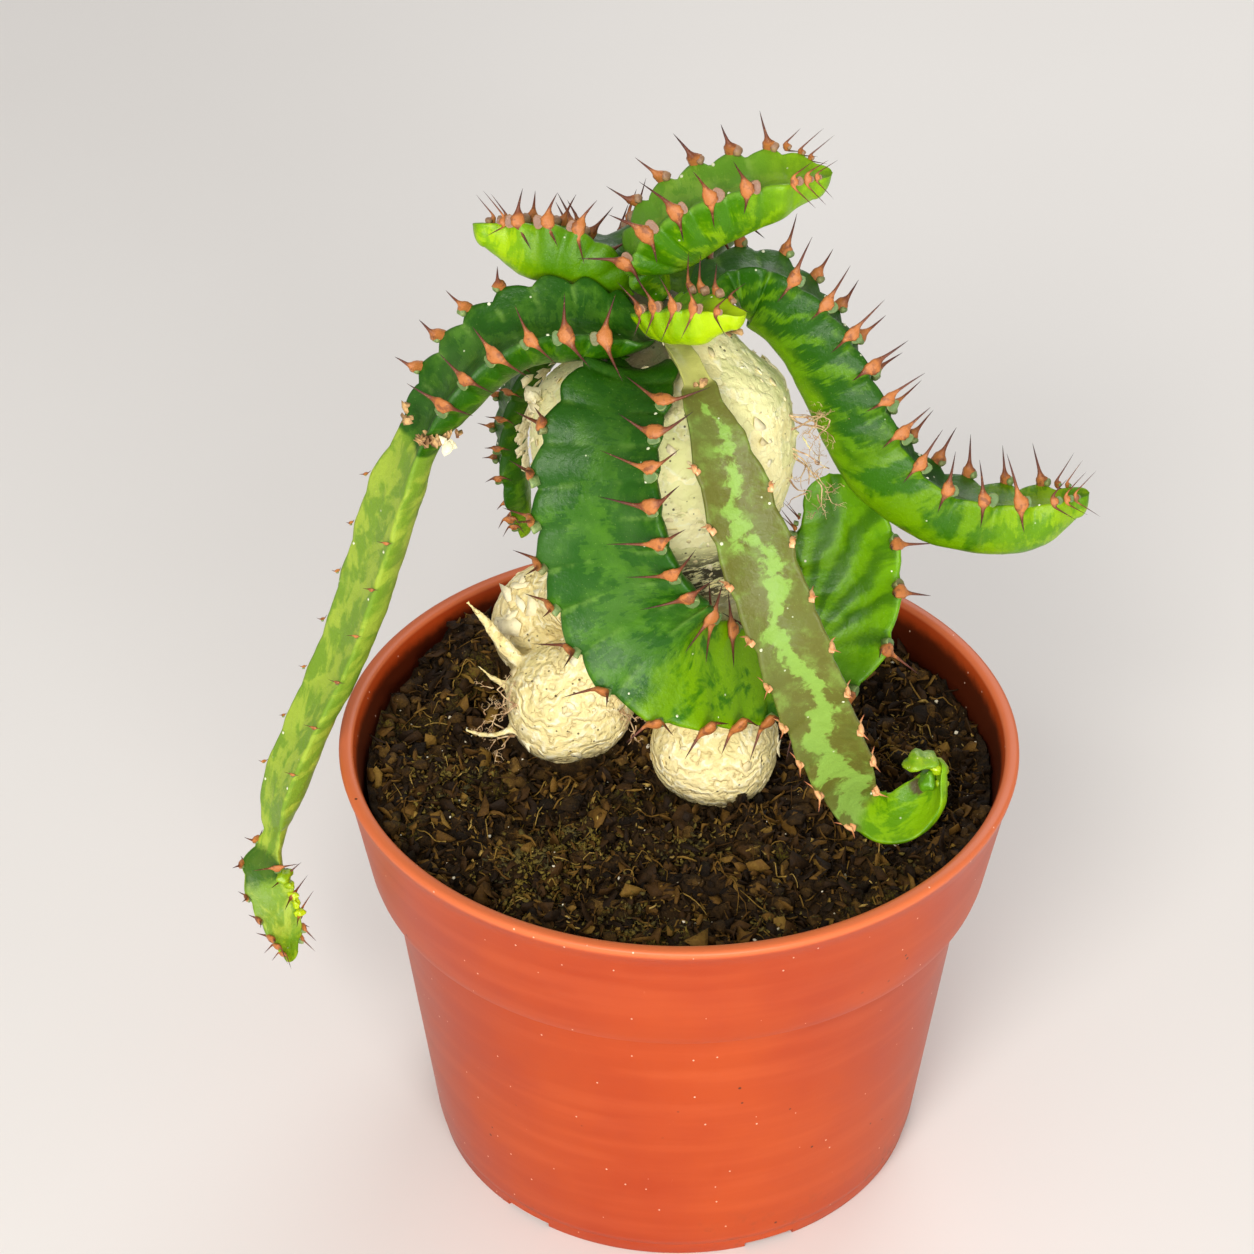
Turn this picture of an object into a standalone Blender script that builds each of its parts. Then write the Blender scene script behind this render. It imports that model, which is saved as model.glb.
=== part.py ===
"""Potted euphorbia stellata: a swollen root with hanging toothed branches in a plastic nursery pot.

Lengths are in millimetres, and MM turns them into Blender's metres where a mesh is made.
The origin is on the pot's axis, level with the surface that it stands on. +Z is up, and the
front of the plant faces -Y.
"""

import itertools
import math
import random
from collections import namedtuple

import bmesh
import bpy
import numpy as np
from mathutils import Matrix, Vector, noise

MM = 0.001
GAP = 0.3           # clearance between pieces that touch
SEED = 11

# Pot: a 12 cm nursery pot
RIM_RADIUS = 60.0
POT_HEIGHT = 84.5
COLLAR_HEIGHT = 24.2
COLLAR_FOOT_RADIUS = 55.2
COLLAR_STEP = 3.0
BASE_RADIUS = 44.5
WALL = 1.5
LIP_WIDTH = 2.6
LIP_ROUND = 0.7
FLOOR = 3.6
POT_SIDES = 48
PAD_RADIUS = 13.0
CHANNEL_HEIGHT = 1.3
FOOT_WIDTH = 7.5
NOTCH_WIDTH = 9.5
NOTCHES = 6
FIRST_NOTCH = math.radians(-128)
DRAIN_RADIUS = 3.5
DRAIN_RING = 25.0

# Soil
SOIL_LEVEL = 77.3
SOIL_LUMP = 2.1
SOIL_BRIM = 4.0         # below this depth the soil follows the pot's wall
SOIL_RINGS = 7
SOIL_SIDES = 36

# Caudex: the bulb and its tubers, each a centre and three radii
BULB_ROUTE = [
    # centre, radius
    ((-4.5, 8.0, 168.0), 4.5),
    ((-4.5, 8.0, 163.5), 7.0),
    ((-3.5, 7.5, 159.5), 11.5),
    ((-3.0, 6.0, 152.5), 19.5),
    ((-3.0, 6.0, 143.0), 22.3),
    ((-2.0, 6.0, 133.0), 21.0),
    ((-0.5, 5.5, 122.0), 17.0),
    ((1.5, 4.0, 111.0), 13.0),
    ((4.0, 1.0, 101.0), 10.5),
    ((6.0, -2.0, 92.0), 10.0),
]
Tuber = namedtuple("Tuber", "place radii")
TUBERS = [
    Tuber((6.4, -3.0, 83.5), (11.0, 11.0, 11.5)),
    Tuber((-19.4, 9.0, 84.5), (11.5, 11.3, 11.3)),
    Tuber((-23.0, 28.0, 88.0), (10.5, 10.0, 12.5)),
]
ROOT_NECKS = [
    [((0.0, 6.0, 112.0), 8.5), ((-7.0, 8.0, 102.0), 7.0), ((-15.0, 9.0, 92.0), 7.5)],
    [((-2.0, 9.0, 114.0), 8.0), ((-12.0, 17.0, 104.0), 7.0), ((-20.0, 25.0, 94.0), 7.5)],
]
ROOTLETS = [
    [((-24.0, 11.0, 88.0), 2.4), ((-30.5, 13.0, 93.0), 1.7), ((-34.0, 13.5, 98.5), 1.2),
     ((-37.5, 14.0, 103.0), 0.6)],
    [((-27.0, 10.0, 86.0), 1.4), ((-32.5, 10.0, 88.5), 0.9), ((-36.0, 11.0, 91.5), 0.5)],
    [((-27.0, 6.0, 82.0), 1.1), ((-33.5, 3.0, 81.5), 0.8), ((-38.0, 2.0, 83.5), 0.5)],
    [((14.0, 5.0, 146.0), 1.6), ((19.5, 3.0, 145.0), 1.0), ((21.5, 0.0, 143.5), 0.7),
     ((24.5, -3.0, 141.0), 0.5)],
    [((14.0, 8.0, 140.0), 1.4), ((19.0, 6.0, 139.5), 0.9), ((22.0, 4.0, 135.5), 0.5)],
]
HOLE_SLACK = 0.4    # the holes in the soil are this much wider than the tubers

# Branches. A station gives the middle of the channelled face, half the width between the
# toothed margins, the depth of the round underside, and the way that the face looks.
Station = namedtuple("Station", "place half keel face")
# Teeth: the way along the branch of the first and the last, their pitch, how far they stand
# out as a share of the half width, the spines' length, and the depth of the channel. A later
# growth at the tip has a run of spines of its own.
Branch = namedtuple("Branch", "name stations first last pitch wave spine channel colour tip_run",
                    defaults=[None])
Run = namedtuple("Run", "first last pitch spine")

DARK_GREEN = (0.045, 0.17, 0.035)
FRESH_GREEN = (0.16, 0.34, 0.02)
DULL_GREEN = (0.13, 0.22, 0.05)

LEFT_LONG = Branch("branch_left_long", [
    Station((-5.0, 2.5, 165.0), 3.0, 3.5, (0.3, -0.2, 1.0)),
    Station((-9.0, 1.0, 168.0), 6.0, 7.5, (0.1, -0.25, 1.0)),
    Station((-16.5, -0.5, 171.0), 7.2, 10.0, (0.0, -0.3, 1.0)),
    Station((-24.5, -1.5, 171.0), 7.3, 10.0, (-0.15, -0.3, 1.0)),
    Station((-31.0, -2.5, 168.5), 7.2, 9.5, (-0.4, -0.3, 0.9)),
    Station((-37.5, -3.0, 162.5), 7.0, 9.0, (-0.65, -0.3, 0.7)),
    Station((-42.5, -3.0, 154.5), 6.0, 7.5, (-0.8, -0.35, 0.45)),
    Station((-45.0, -3.0, 148.0), 4.4, 5.5, (-0.85, -0.4, 0.3)),
    Station((-49.5, -3.0, 137.5), 5.4, 7.0, (-0.8, -0.55, 0.25)),
    Station((-54.0, -3.0, 122.5), 5.3, 7.0, (-0.8, -0.55, 0.25)),
    Station((-59.5, -4.0, 105.5), 5.0, 6.5, (-0.8, -0.55, 0.25)),
    Station((-66.5, -6.5, 90.0), 4.4, 6.0, (-0.8, -0.55, 0.3)),
    Station((-72.0, -8.5, 75.0), 4.0, 5.5, (-0.8, -0.55, 0.2)),
    Station((-72.5, -9.0, 68.0), 2.4, 3.0, (-0.6, -0.6, 0.3)),
    Station((-74.0, -10.5, 62.0), 4.2, 3.4, (-0.35, -0.7, 0.6)),
    Station((-72.2, -12.5, 56.0), 4.0, 3.4, (0.1, -0.8, 0.6)),
    Station((-70.0, -13.5, 50.0), 3.4, 3.0, (0.5, -0.8, 0.3)),
    Station((-69.5, -13.5, 44.5), 1.6, 1.6, (0.7, -0.6, 0.1)),
], 6.0, 46.0, 6.4, 0.22, 6.5, 2.2, DARK_GREEN, Run(141.0, 160.0, 4.2, 3.6))

LEFT_SHORT = Branch("branch_left_short", [
    Station((-8.5, 11.5, 166.5), 2.8, 3.5, (0.4, 0.4, 0.9)),
    Station((-13.5, 12.5, 175.5), 5.2, 8.5, (0.1, 0.45, 0.9)),
    Station((-19.5, 13.0, 178.5), 5.2, 9.5, (-0.05, 0.45, 0.9)),
    Station((-26.5, 12.5, 179.5), 4.6, 8.5, (-0.1, 0.45, 0.9)),
    Station((-32.5, 11.5, 180.0), 2.2, 4.0, (-0.2, 0.4, 0.9)),
], 7.0, 26.0, 5.0, 0.22, 6.0, 1.4, FRESH_GREEN)

RIGHT_UP = Branch("branch_right_up", [
    Station((-5.0, 8.5, 167.5), 3.0, 3.5, (-0.9, 0.0, 0.4)),
    Station((-9.5, 8.5, 175.0), 6.0, 10.0, (-0.9, -0.05, 0.5)),
    Station((-7.0, 8.0, 182.0), 6.6, 12.0, (-0.75, -0.05, 0.75)),
    Station((-1.5, 8.0, 187.0), 6.7, 12.0, (-0.5, -0.05, 0.9)),
    Station((5.0, 8.0, 190.0), 6.6, 11.5, (-0.3, -0.05, 0.95)),
    Station((11.5, 8.0, 191.5), 6.4, 10.0, (-0.2, -0.05, 1.0)),
    Station((17.5, 8.0, 192.0), 5.4, 8.0, (-0.1, -0.05, 1.0)),
    Station((21.5, 8.0, 191.5), 2.8, 5.0, (0.0, 0.0, 1.0)),
], 6.0, 40.0, 6.0, 0.2, 6.0, 2.2, DARK_GREEN)

FRONT_BUD = Branch("branch_front_bud", [
    Station((-3.5, 4.5, 167.0), 2.8, 3.0, (-0.3, 0.3, 0.9)),
    Station((-4.5, -2.0, 172.5), 4.4, 6.0, (-0.3, 0.2, 0.95)),
    Station((-1.0, -7.0, 176.0), 4.8, 7.0, (-0.1, 0.2, 0.95)),
    Station((4.0, -10.5, 177.5), 4.2, 6.5, (0.0, 0.2, 0.95)),
    Station((8.0, -13.0, 177.5), 2.0, 3.0, (0.0, 0.2, 0.95)),
], 5.0, 21.5, 3.3, 0.2, 5.5, 1.2, FRESH_GREEN)

RIGHT_ARCH = Branch("branch_right_arch", [
    Station((0.5, 9.0, 166.0), 2.8, 3.5, (-0.2, 0.2, 0.9)),
    Station((6.0, 13.0, 171.5), 5.4, 8.5, (-0.1, 0.2, 0.95)),
    Station((13.5, 14.0, 172.0), 6.4, 11.5, (0.15, 0.2, 0.95)),
    Station((21.0, 12.5, 168.0), 6.6, 12.0, (0.5, 0.2, 0.8)),
    Station((28.0, 10.0, 160.0), 6.6, 12.0, (0.75, 0.2, 0.6)),
    Station((33.5, 7.0, 149.5), 6.4, 12.0, (0.8, 0.2, 0.45)),
    Station((38.5, 4.0, 141.0), 6.4, 12.0, (0.65, 0.2, 0.7)),
    Station((44.5, 2.0, 136.0), 6.6, 11.0, (0.4, 0.2, 0.9)),
    Station((52.5, 1.0, 134.0), 6.4, 10.5, (0.1, 0.25, 0.95)),
    Station((60.5, 0.5, 134.0), 5.6, 9.0, (-0.05, 0.25, 0.95)),
    Station((66.5, 0.5, 134.5), 2.6, 4.5, (-0.1, 0.2, 0.95)),
], 9.0, 84.5, 6.4, 0.2, 6.5, 2.0, DARK_GREEN)

FRONT_CURL = Branch("branch_front_curl", [
    Station((-7.0, 0.0, 161.5), 4.0, 3.0, (-0.1, -0.2, 0.95)),
    Station((-8.0, -6.5, 163.5), 7.6, 4.0, (-0.1, -0.4, 0.9)),
    Station((-11.5, -14.0, 161.0), 9.6, 5.0, (-0.3, -0.7, 0.7)),
    Station((-14.0, -20.5, 155.0), 11.0, 5.5, (-0.4, -0.85, 0.45)),
    Station((-14.0, -25.0, 146.5), 11.6, 5.5, (-0.4, -0.9, 0.25)),
    Station((-11.5, -27.0, 136.0), 12.2, 5.5, (-0.35, -0.9, 0.2)),
    Station((-7.0, -27.0, 126.0), 12.2, 5.5, (-0.25, -0.85, 0.4)),
    Station((-1.0, -25.5, 118.0), 11.0, 5.5, (-0.1, -0.8, 0.55)),
    Station((7.0, -20.5, 112.0), 9.2, 5.0, (-0.1, -0.75, 0.65)),
    Station((14.0, -15.0, 107.5), 8.0, 4.5, (-0.1, -0.8, 0.6)),
    Station((20.5, -10.5, 105.0), 7.8, 4.5, (-0.15, -0.85, 0.5)),
    Station((26.5, -6.5, 107.0), 8.0, 4.5, (-0.2, -0.9, 0.4)),
    Station((29.5, -2.5, 112.5), 8.2, 4.5, (-0.2, -0.93, 0.3)),
    Station((29.0, 1.5, 118.5), 9.4, 4.5, (-0.2, -0.93, 0.3)),
    Station((27.6, 5.0, 123.5), 9.0, 4.0, (-0.2, -0.93, 0.3)),
    Station((26.6, 8.0, 127.5), 6.0, 3.0, (-0.2, -0.93, 0.3)),
], 8.0, 127.5, 6.6, 0.1, 6.5, 1.4, DARK_GREEN)

FRONT_HANGING = Branch("branch_front_hanging", [
    Station((-1.5, -0.5, 165.0), 2.2, 2.5, (0.0, -0.4, 0.9)),
    Station((0.5, -7.0, 165.5), 2.6, 3.0, (0.0, -0.4, 0.9)),
    Station((3.0, -14.5, 162.5), 3.2, 3.5, (0.1, -0.7, 0.7)),
    Station((6.0, -21.5, 156.5), 5.0, 4.0, (0.1, -0.85, 0.5)),
    Station((9.5, -27.0, 148.0), 6.0, 4.5, (0.1, -0.92, 0.35)),
    Station((13.5, -32.5, 138.0), 6.2, 4.5, (0.1, -0.95, 0.25)),
    Station((18.0, -35.0, 126.5), 6.2, 4.5, (0.1, -0.98, 0.15)),
    Station((22.5, -33.5, 112.0), 6.1, 4.5, (0.1, -0.98, 0.0)),
    Station((27.0, -30.0, 98.5), 5.6, 4.5, (0.1, -0.95, 0.15)),
    Station((31.5, -25.5, 87.0), 4.0, 4.0, (0.1, -0.85, 0.5)),
    Station((36.5, -23.5, 84.0), 4.8, 4.0, (-0.1, -0.6, 0.8)),
    Station((41.5, -22.0, 87.0), 4.6, 3.5, (-0.6, -0.5, 0.6)),
    Station((43.5, -21.0, 92.5), 2.0, 2.0, (-0.9, -0.4, 0.2)),
], 26.0, 104.0, 9.5, 0.09, 2.6, 0.8, DULL_GREEN)

LEFT_BEHIND = Branch("branch_left_behind", [
    Station((-12.5, 11.5, 161.0), 2.4, 3.0, (-0.5, 0.2, 0.9)),
    Station((-20.5, 18.5, 157.0), 4.6, 4.5, (-0.7, 0.2, 0.7)),
    Station((-28.0, 22.5, 146.0), 5.0, 5.0, (-0.9, 0.0, 0.4)),
    Station((-31.5, 24.0, 133.0), 5.0, 5.0, (-0.95, -0.1, 0.1)),
    Station((-31.0, 24.5, 120.5), 4.8, 5.0, (-0.95, -0.1, -0.2)),
    Station((-28.5, 25.0, 111.0), 2.0, 2.5, (-0.95, -0.1, -0.3)),
], 10.0, 52.0, 6.4, 0.16, 4.5, 1.2, DULL_GREEN)

BACK = Branch("branch_back", [
    Station((-6.5, 13.5, 165.0), 2.6, 3.0, (0.0, -0.3, 0.9)),
    Station((-10.0, 20.5, 171.0), 5.4, 6.0, (-0.1, -0.1, 1.0)),
    Station((-12.0, 28.0, 170.5), 5.8, 7.5, (-0.1, 0.3, 1.0)),
    Station((-14.0, 36.0, 165.0), 5.4, 7.0, (-0.1, 0.6, 0.8)),
    Station((-15.5, 42.0, 156.5), 4.0, 5.0, (-0.1, 0.8, 0.6)),
    Station((-16.0, 45.0, 149.0), 1.8, 2.4, (-0.1, 0.9, 0.4)),
], 8.0, 42.0, 6.0, 0.2, 5.5, 1.6, DARK_GREEN)

BACK_STUB = Branch("branch_back_stub", [
    Station((-1.0, 13.5, 165.0), 2.6, 3.0, (-0.2, -0.2, 0.9)),
    Station((1.5, 22.5, 170.0), 4.4, 5.5, (-0.1, 0.0, 1.0)),
    Station((6.5, 30.0, 171.0), 4.6, 5.5, (0.1, 0.2, 1.0)),
    Station((11.0, 36.0, 167.5), 1.8, 2.2, (0.3, 0.4, 0.9)),
], 9.0, 23.0, 5.4, 0.2, 5.0, 1.2, FRESH_GREEN)

BRANCHES = [RIGHT_UP, LEFT_LONG, RIGHT_ARCH, FRONT_CURL, FRONT_HANGING, LEFT_SHORT,
            FRONT_BUD, LEFT_BEHIND, BACK, BACK_STUB]

RINGS_PER_TOOTH = 3
NOTCH_PHASE = 1.0 / 3.0     # the notch lies a third of the pitch past its tooth
TEETH_SHIFT = 1.0 / 3.0     # one margin's teeth lie this share of the pitch behind the other's
TANGENT_STEP = 0.05
MARGIN_LIFT = 0.12      # how far a tooth rises above the face, as a share of the half width
TOOTHLESS = 0.6         # how far out the plain margin runs where there are no teeth
TIP_RINGS = ((0.32, 0.82), (0.55, 0.42))    # how far past the end, in half widths, and how large
SHIELD_SINK = 1.1       # a spine pair's shield: how deep it is sunk, how proud and how long
SHIELD_CREST = 0.5
SHIELD_HALF_LENGTH = 0.85
SPINE_SPREAD = math.radians(62)
SPINE_SLACK = 0.5       # spines that would come closer than this to another branch are left out
SEAT_LENGTH = 18.0      # how much of a branch's foot is cut out of the caudex
FOOT_LENGTH = 22.0      # how far from their feet branches may press on each other

TERRACOTTA = (0.68, 0.11, 0.03)
SOIL_BROWN = (0.028, 0.016, 0.008)
ROOT_CREAM = (0.72, 0.6, 0.36)


def material(name, colour, roughness):
    """A Principled material of one colour."""
    made = bpy.data.materials.new(name)
    made.use_nodes = True
    shader = made.node_tree.nodes["Principled BSDF"]
    shader.inputs["Base Color"].default_value = (*colour, 1.0)
    shader.inputs["Roughness"].default_value = roughness
    shader.inputs["Metallic"].default_value = 0.0
    return made


def make_object(name, bm, collection):
    """An object from a bmesh in millimetres."""
    bmesh.ops.scale(bm, vec=(MM, MM, MM), verts=bm.verts)
    bmesh.ops.recalc_face_normals(bm, faces=bm.faces)
    mesh = bpy.data.meshes.new(name)
    bm.to_mesh(mesh)
    bm.free()
    obj = bpy.data.objects.new(name, mesh)
    collection.objects.link(obj)
    return obj


def apply_modifiers(obj):
    """Puts the evaluated mesh in the object's place and drops its modifiers."""
    graph = bpy.context.evaluated_depsgraph_get()
    mesh = bpy.data.meshes.new_from_object(obj.evaluated_get(graph))
    obj.modifiers.clear()
    obj.data = mesh


def combine(obj, others, operation, solver="EXACT"):
    """One applied Boolean of the object with a collection of others, which are removed."""
    group = bpy.data.collections.new("operands")
    bpy.context.scene.collection.children.link(group)
    for other in others:
        for home in list(other.users_collection):
            home.objects.unlink(other)
        group.objects.link(other)
    modifier = obj.modifiers.new("combine", "BOOLEAN")
    modifier.operation = operation
    modifier.operand_type = "COLLECTION"
    modifier.collection = group
    modifier.solver = solver
    apply_modifiers(obj)
    for other in others:
        bpy.data.objects.remove(other)
    bpy.data.collections.remove(group)


def ring_mesh(rings):
    """A closed body through rings that each have the same number of points."""
    bm = bmesh.new()
    loops = [[bm.verts.new(point) for point in ring] for ring in rings]
    sides = len(loops[0])
    for lower, upper in zip(loops, loops[1:]):
        for i in range(sides):
            j = (i + 1) % sides
            bm.faces.new((lower[i], lower[j], upper[j], upper[i]))
    bm.faces.new(reversed(loops[0]))
    bm.faces.new(loops[-1])
    bmesh.ops.triangulate(bm, faces=bm.faces)
    return bm


def smooth_samples(knots, distances):
    """Rows of values read at these distances from one smooth curve through the knots."""
    knots = np.array(knots, dtype=float)
    steps = np.linalg.norm(np.diff(knots[:, :3], axis=0), axis=1)
    at = np.concatenate([[0.0], np.cumsum(steps)])
    slopes = np.gradient(knots, at, axis=0)
    rows = []
    for distance in distances:
        span = min(max(int(np.searchsorted(at, distance)) - 1, 0), len(at) - 2)
        size = at[span + 1] - at[span]
        t = (distance - at[span]) / size
        start = (2 * t**3 - 3 * t**2 + 1) * knots[span] + (t**3 - 2 * t**2 + t) * size * slopes[span]
        end = (3 * t**2 - 2 * t**3) * knots[span + 1] + (t**3 - t**2) * size * slopes[span + 1]
        rows.append(start + end)
    return np.array(rows)


def route_length(knots):
    places = np.array([knot[:3] for knot in knots], dtype=float)
    return float(np.linalg.norm(np.diff(places, axis=0), axis=1).sum())


def unit(vector):
    return vector / np.linalg.norm(vector)


class Frame:
    """A place on a branch: its way along, the face's normal and the side between margins."""

    def __init__(self, row, along, distance):
        self.place = row[:3]
        self.half = row[3]
        self.keel = row[4]
        self.along = unit(along)
        face = row[5:8]
        self.face = unit(face - self.along * face.dot(self.along))
        self.side = np.cross(self.along, self.face)
        self.distance = distance


def branch_knots(branch):
    return [(*s.place, s.half, s.keel, *s.face) for s in branch.stations]


def frames_at(branch, distances):
    """The branch's frames at these distances along it."""
    knots = branch_knots(branch)
    length = route_length(knots)
    distances = np.array(distances, dtype=float)
    rows = smooth_samples(knots, distances)
    ahead = smooth_samples(knots, np.minimum(distances + TANGENT_STEP, length))
    behind = smooth_samples(knots, np.maximum(distances - TANGENT_STEP, 0.0))
    tangents = ahead[:, :3] - behind[:, :3]
    return [Frame(row, along, d) for row, along, d in zip(rows, tangents, distances)]


def ring_distances(branch, end=None):
    """Where the rings go: RINGS_PER_TOOTH to each tooth, one of them on the tooth itself."""
    length = route_length(branch_knots(branch))
    end = length if end is None else min(end, length)
    spacing = branch.pitch / RINGS_PER_TOOTH
    offset = branch.first % spacing
    inner = np.arange(offset, end, spacing)
    inner = [d for d in inner if 0.4 * spacing < d < end - 0.4 * spacing]
    return [0.0, *inner, end]


def tooth_wave(branch, distance, margin):
    """1 on a tooth, 0 in the notch just past it, and a round rise to the next tooth."""
    if not branch.first - branch.pitch <= distance <= branch.last + branch.pitch:
        return TOOTHLESS
    shift = 0.0 if margin > 0 else TEETH_SHIFT
    phase = ((distance - branch.first) / branch.pitch + shift + 1e-6) % 1.0
    if phase < NOTCH_PHASE:
        return 1.0 - phase / NOTCH_PHASE
    return math.sin((phase - NOTCH_PHASE) / (1.0 - NOTCH_PHASE) * math.pi / 2)


def section(branch, frame, grow, size=1.0):
    """The points round a branch: the channelled face between two margins, and the underside."""
    ring = []
    waves = {margin: tooth_wave(branch, frame.distance, margin) for margin in (1, -1)}
    half = frame.half * size
    keel = frame.keel * size
    channel = min(branch.channel, 0.35 * half)
    reach = {m: half * (1.0 - branch.wave * (1.0 - waves[m])) + grow for m in (1, -1)}
    lift = {m: MARGIN_LIFT * half * waves[m] + grow for m in (1, -1)}
    ring.append((-reach[-1], lift[-1]))
    ring.append((-0.5 * half, -0.55 * channel + 0.5 * lift[-1] + grow))
    ring.append((0.0, -channel + grow))
    ring.append((0.5 * half, -0.55 * channel + 0.5 * lift[1] + grow))
    ring.append((reach[1], lift[1]))
    for angle in (40, 90, 140):
        across = math.cos(math.radians(angle))
        down = math.sin(math.radians(angle))
        ring.append(((half + grow) * across, -(keel + grow) * down))
    return [frame.place + a * frame.side + b * frame.face for a, b in ring]


def branch_body(branch, grow=0.0, end=None):
    """The branch without its spines; grow makes it thicker all round and longer at its foot."""
    frames = frames_at(branch, ring_distances(branch, end))
    rings = [section(branch, frame, grow) for frame in frames]
    foot = frames[0]
    rings[0] = [point - foot.along * grow for point in rings[0]]
    tip = frames[-1]
    if end is None:
        for ahead, size in TIP_RINGS:
            close = section(branch, tip, grow, size)
            rings.append([point + tip.along * (ahead * tip.half + grow) for point in close])
    return ring_mesh(rings)


def near_branch(point, branch, slack):
    """Whether a point lies within a branch or this close to it."""
    for frame in frames_at(branch, ring_distances(branch)):
        away = point - frame.place
        beside = abs(away.dot(frame.side)) < frame.half + slack
        level = -frame.keel - slack < away.dot(frame.face) < 1.0 + slack
        abreast = abs(away.dot(frame.along)) < branch.pitch / RINGS_PER_TOOTH + slack
        if beside and level and abreast:
            return True
    return False


def near_bulb(point, slack):
    """Whether a point lies within the bulb or this close to its side."""
    knots = np.array([(*place, radius) for place, radius in reversed(BULB_ROUTE)])
    height = point[2]
    centre = [np.interp(height, knots[:, 2], knots[:, axis]) for axis in (0, 1)]
    radius = np.interp(height, knots[:, 2], knots[:, 3])
    return math.dist(point[:2], centre) < radius + slack


Thorns = namedtuple("Thorns", "edge outward along tips")


def thorn_places(branch, draw):
    """The spread pair of spines on each tooth of each margin, where no other branch is in the way."""
    places = []
    others = [other for other in BRANCHES if other is not branch]
    runs = [Run(branch.first, branch.last, branch.pitch, branch.spine)]
    if branch.tip_run:
        runs.append(branch.tip_run)
    for run, margin in itertools.product(runs, (1, -1)):
        shift = 0.0 if margin > 0 else 1.0 - TEETH_SHIFT
        for distance in np.arange(run.first + shift * run.pitch, run.last + 0.01, run.pitch):
            frame = frames_at(branch, [distance])[0]
            outward = frame.side * margin
            edge = frame.place + outward * frame.half + frame.face * MARGIN_LIFT * frame.half
            tips = []
            for lean in (1, -1):
                spread = SPINE_SPREAD * draw.uniform(0.85, 1.1) * lean
                way = outward * math.cos(spread) + frame.face * math.sin(spread)
                way = unit(way + frame.along * draw.uniform(-0.05, 0.25))
                tips.append(edge + way * run.spine * draw.uniform(0.85, 1.15))
            probes = tips + [(edge + tip) / 2 for tip in tips]
            crowded = any(near_branch(probe, other, SPINE_SLACK) for other in others for probe in probes)
            if not crowded and not any(near_bulb(probe, SPINE_SLACK) for probe in probes):
                places.append(Thorns(edge, outward, frame.along, tips))
    return places


def add_thorns(index, thorns, collection):
    """A horny shield, sunk in the tooth, that draws out into two spines."""
    bm = bmesh.new()
    shield = [
        thorns.edge + thorns.outward * SHIELD_CREST,
        thorns.edge + thorns.along * SHIELD_HALF_LENGTH,
        thorns.edge - thorns.outward * SHIELD_SINK,
        thorns.edge - thorns.along * SHIELD_HALF_LENGTH,
    ]
    ring = [bm.verts.new(point) for point in shield]
    for tip in thorns.tips:
        point = bm.verts.new(tip)
        for i in range(len(ring)):
            bm.faces.new((ring[i], ring[(i + 1) % len(ring)], point))
    return make_object(f"thorns_{index}", bm, collection)


def feet_meet(branch, other):
    """Whether the foot of one branch comes near the other branch."""
    foot = np.arange(0.0, FOOT_LENGTH, 2.0)
    for frame in frames_at(branch, foot):
        for rival in frames_at(other, foot):
            reach = max(frame.half, frame.keel) + max(rival.half, rival.keel) + 1.0
            if np.linalg.norm(frame.place - rival.place) < reach:
                return True
    return False


def build_branch(branch, earlier, root, parts):
    """One branch with its spines, kept clear of the branches that were made before it."""
    draw = random.Random(f"{SEED} {branch.name}")
    body = make_object(branch.name, branch_body(branch), parts)
    seats = [make_object(f"seat_{other.name}", branch_body(other, GAP), parts) for other in earlier
             if feet_meet(branch, other)]
    if seats:
        combine(body, seats, "DIFFERENCE")
    thorns = [add_thorns(i, place, parts) for i, place in enumerate(thorn_places(branch, draw))]
    combine(body, thorns, "UNION")
    body.data.materials.clear()
    body.data.materials.append(material(branch.name, branch.colour, 0.45))
    body.parent = root
    return body


def turned(name, profile, collection, steps=POT_SIDES, closed=False):
    """A body turned round the pot's axis from a profile that runs down its outer side."""
    mesh = bpy.data.meshes.new(name)
    points = [(radius * MM, 0.0, height * MM) for radius, height in profile]
    edges = [(i, i + 1) for i in range(len(points) - 1)]
    if closed:
        edges.append((len(points) - 1, 0))
    mesh.from_pydata(points, edges, [])
    obj = bpy.data.objects.new(name, mesh)
    collection.objects.link(obj)
    screw = obj.modifiers.new("turn", "SCREW")
    screw.steps = steps
    screw.render_steps = steps
    screw.use_merge_vertices = True
    screw.merge_threshold = 0.00001
    apply_modifiers(obj)
    return obj


def inner_radius(height):
    """The pot's inner wall at a height."""
    shoulder = POT_HEIGHT - COLLAR_HEIGHT
    below = COLLAR_FOOT_RADIUS - COLLAR_STEP - WALL
    bottom = BASE_RADIUS - WALL
    above = COLLAR_FOOT_RADIUS - WALL
    if height < shoulder + WALL:
        return bottom + (below - bottom) * (height - FLOOR) / (shoulder + WALL - FLOOR)
    top = RIM_RADIUS - LIP_WIDTH
    share = (height - shoulder - WALL) / (POT_HEIGHT - shoulder - WALL)
    return above + (top - above) * share


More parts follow.
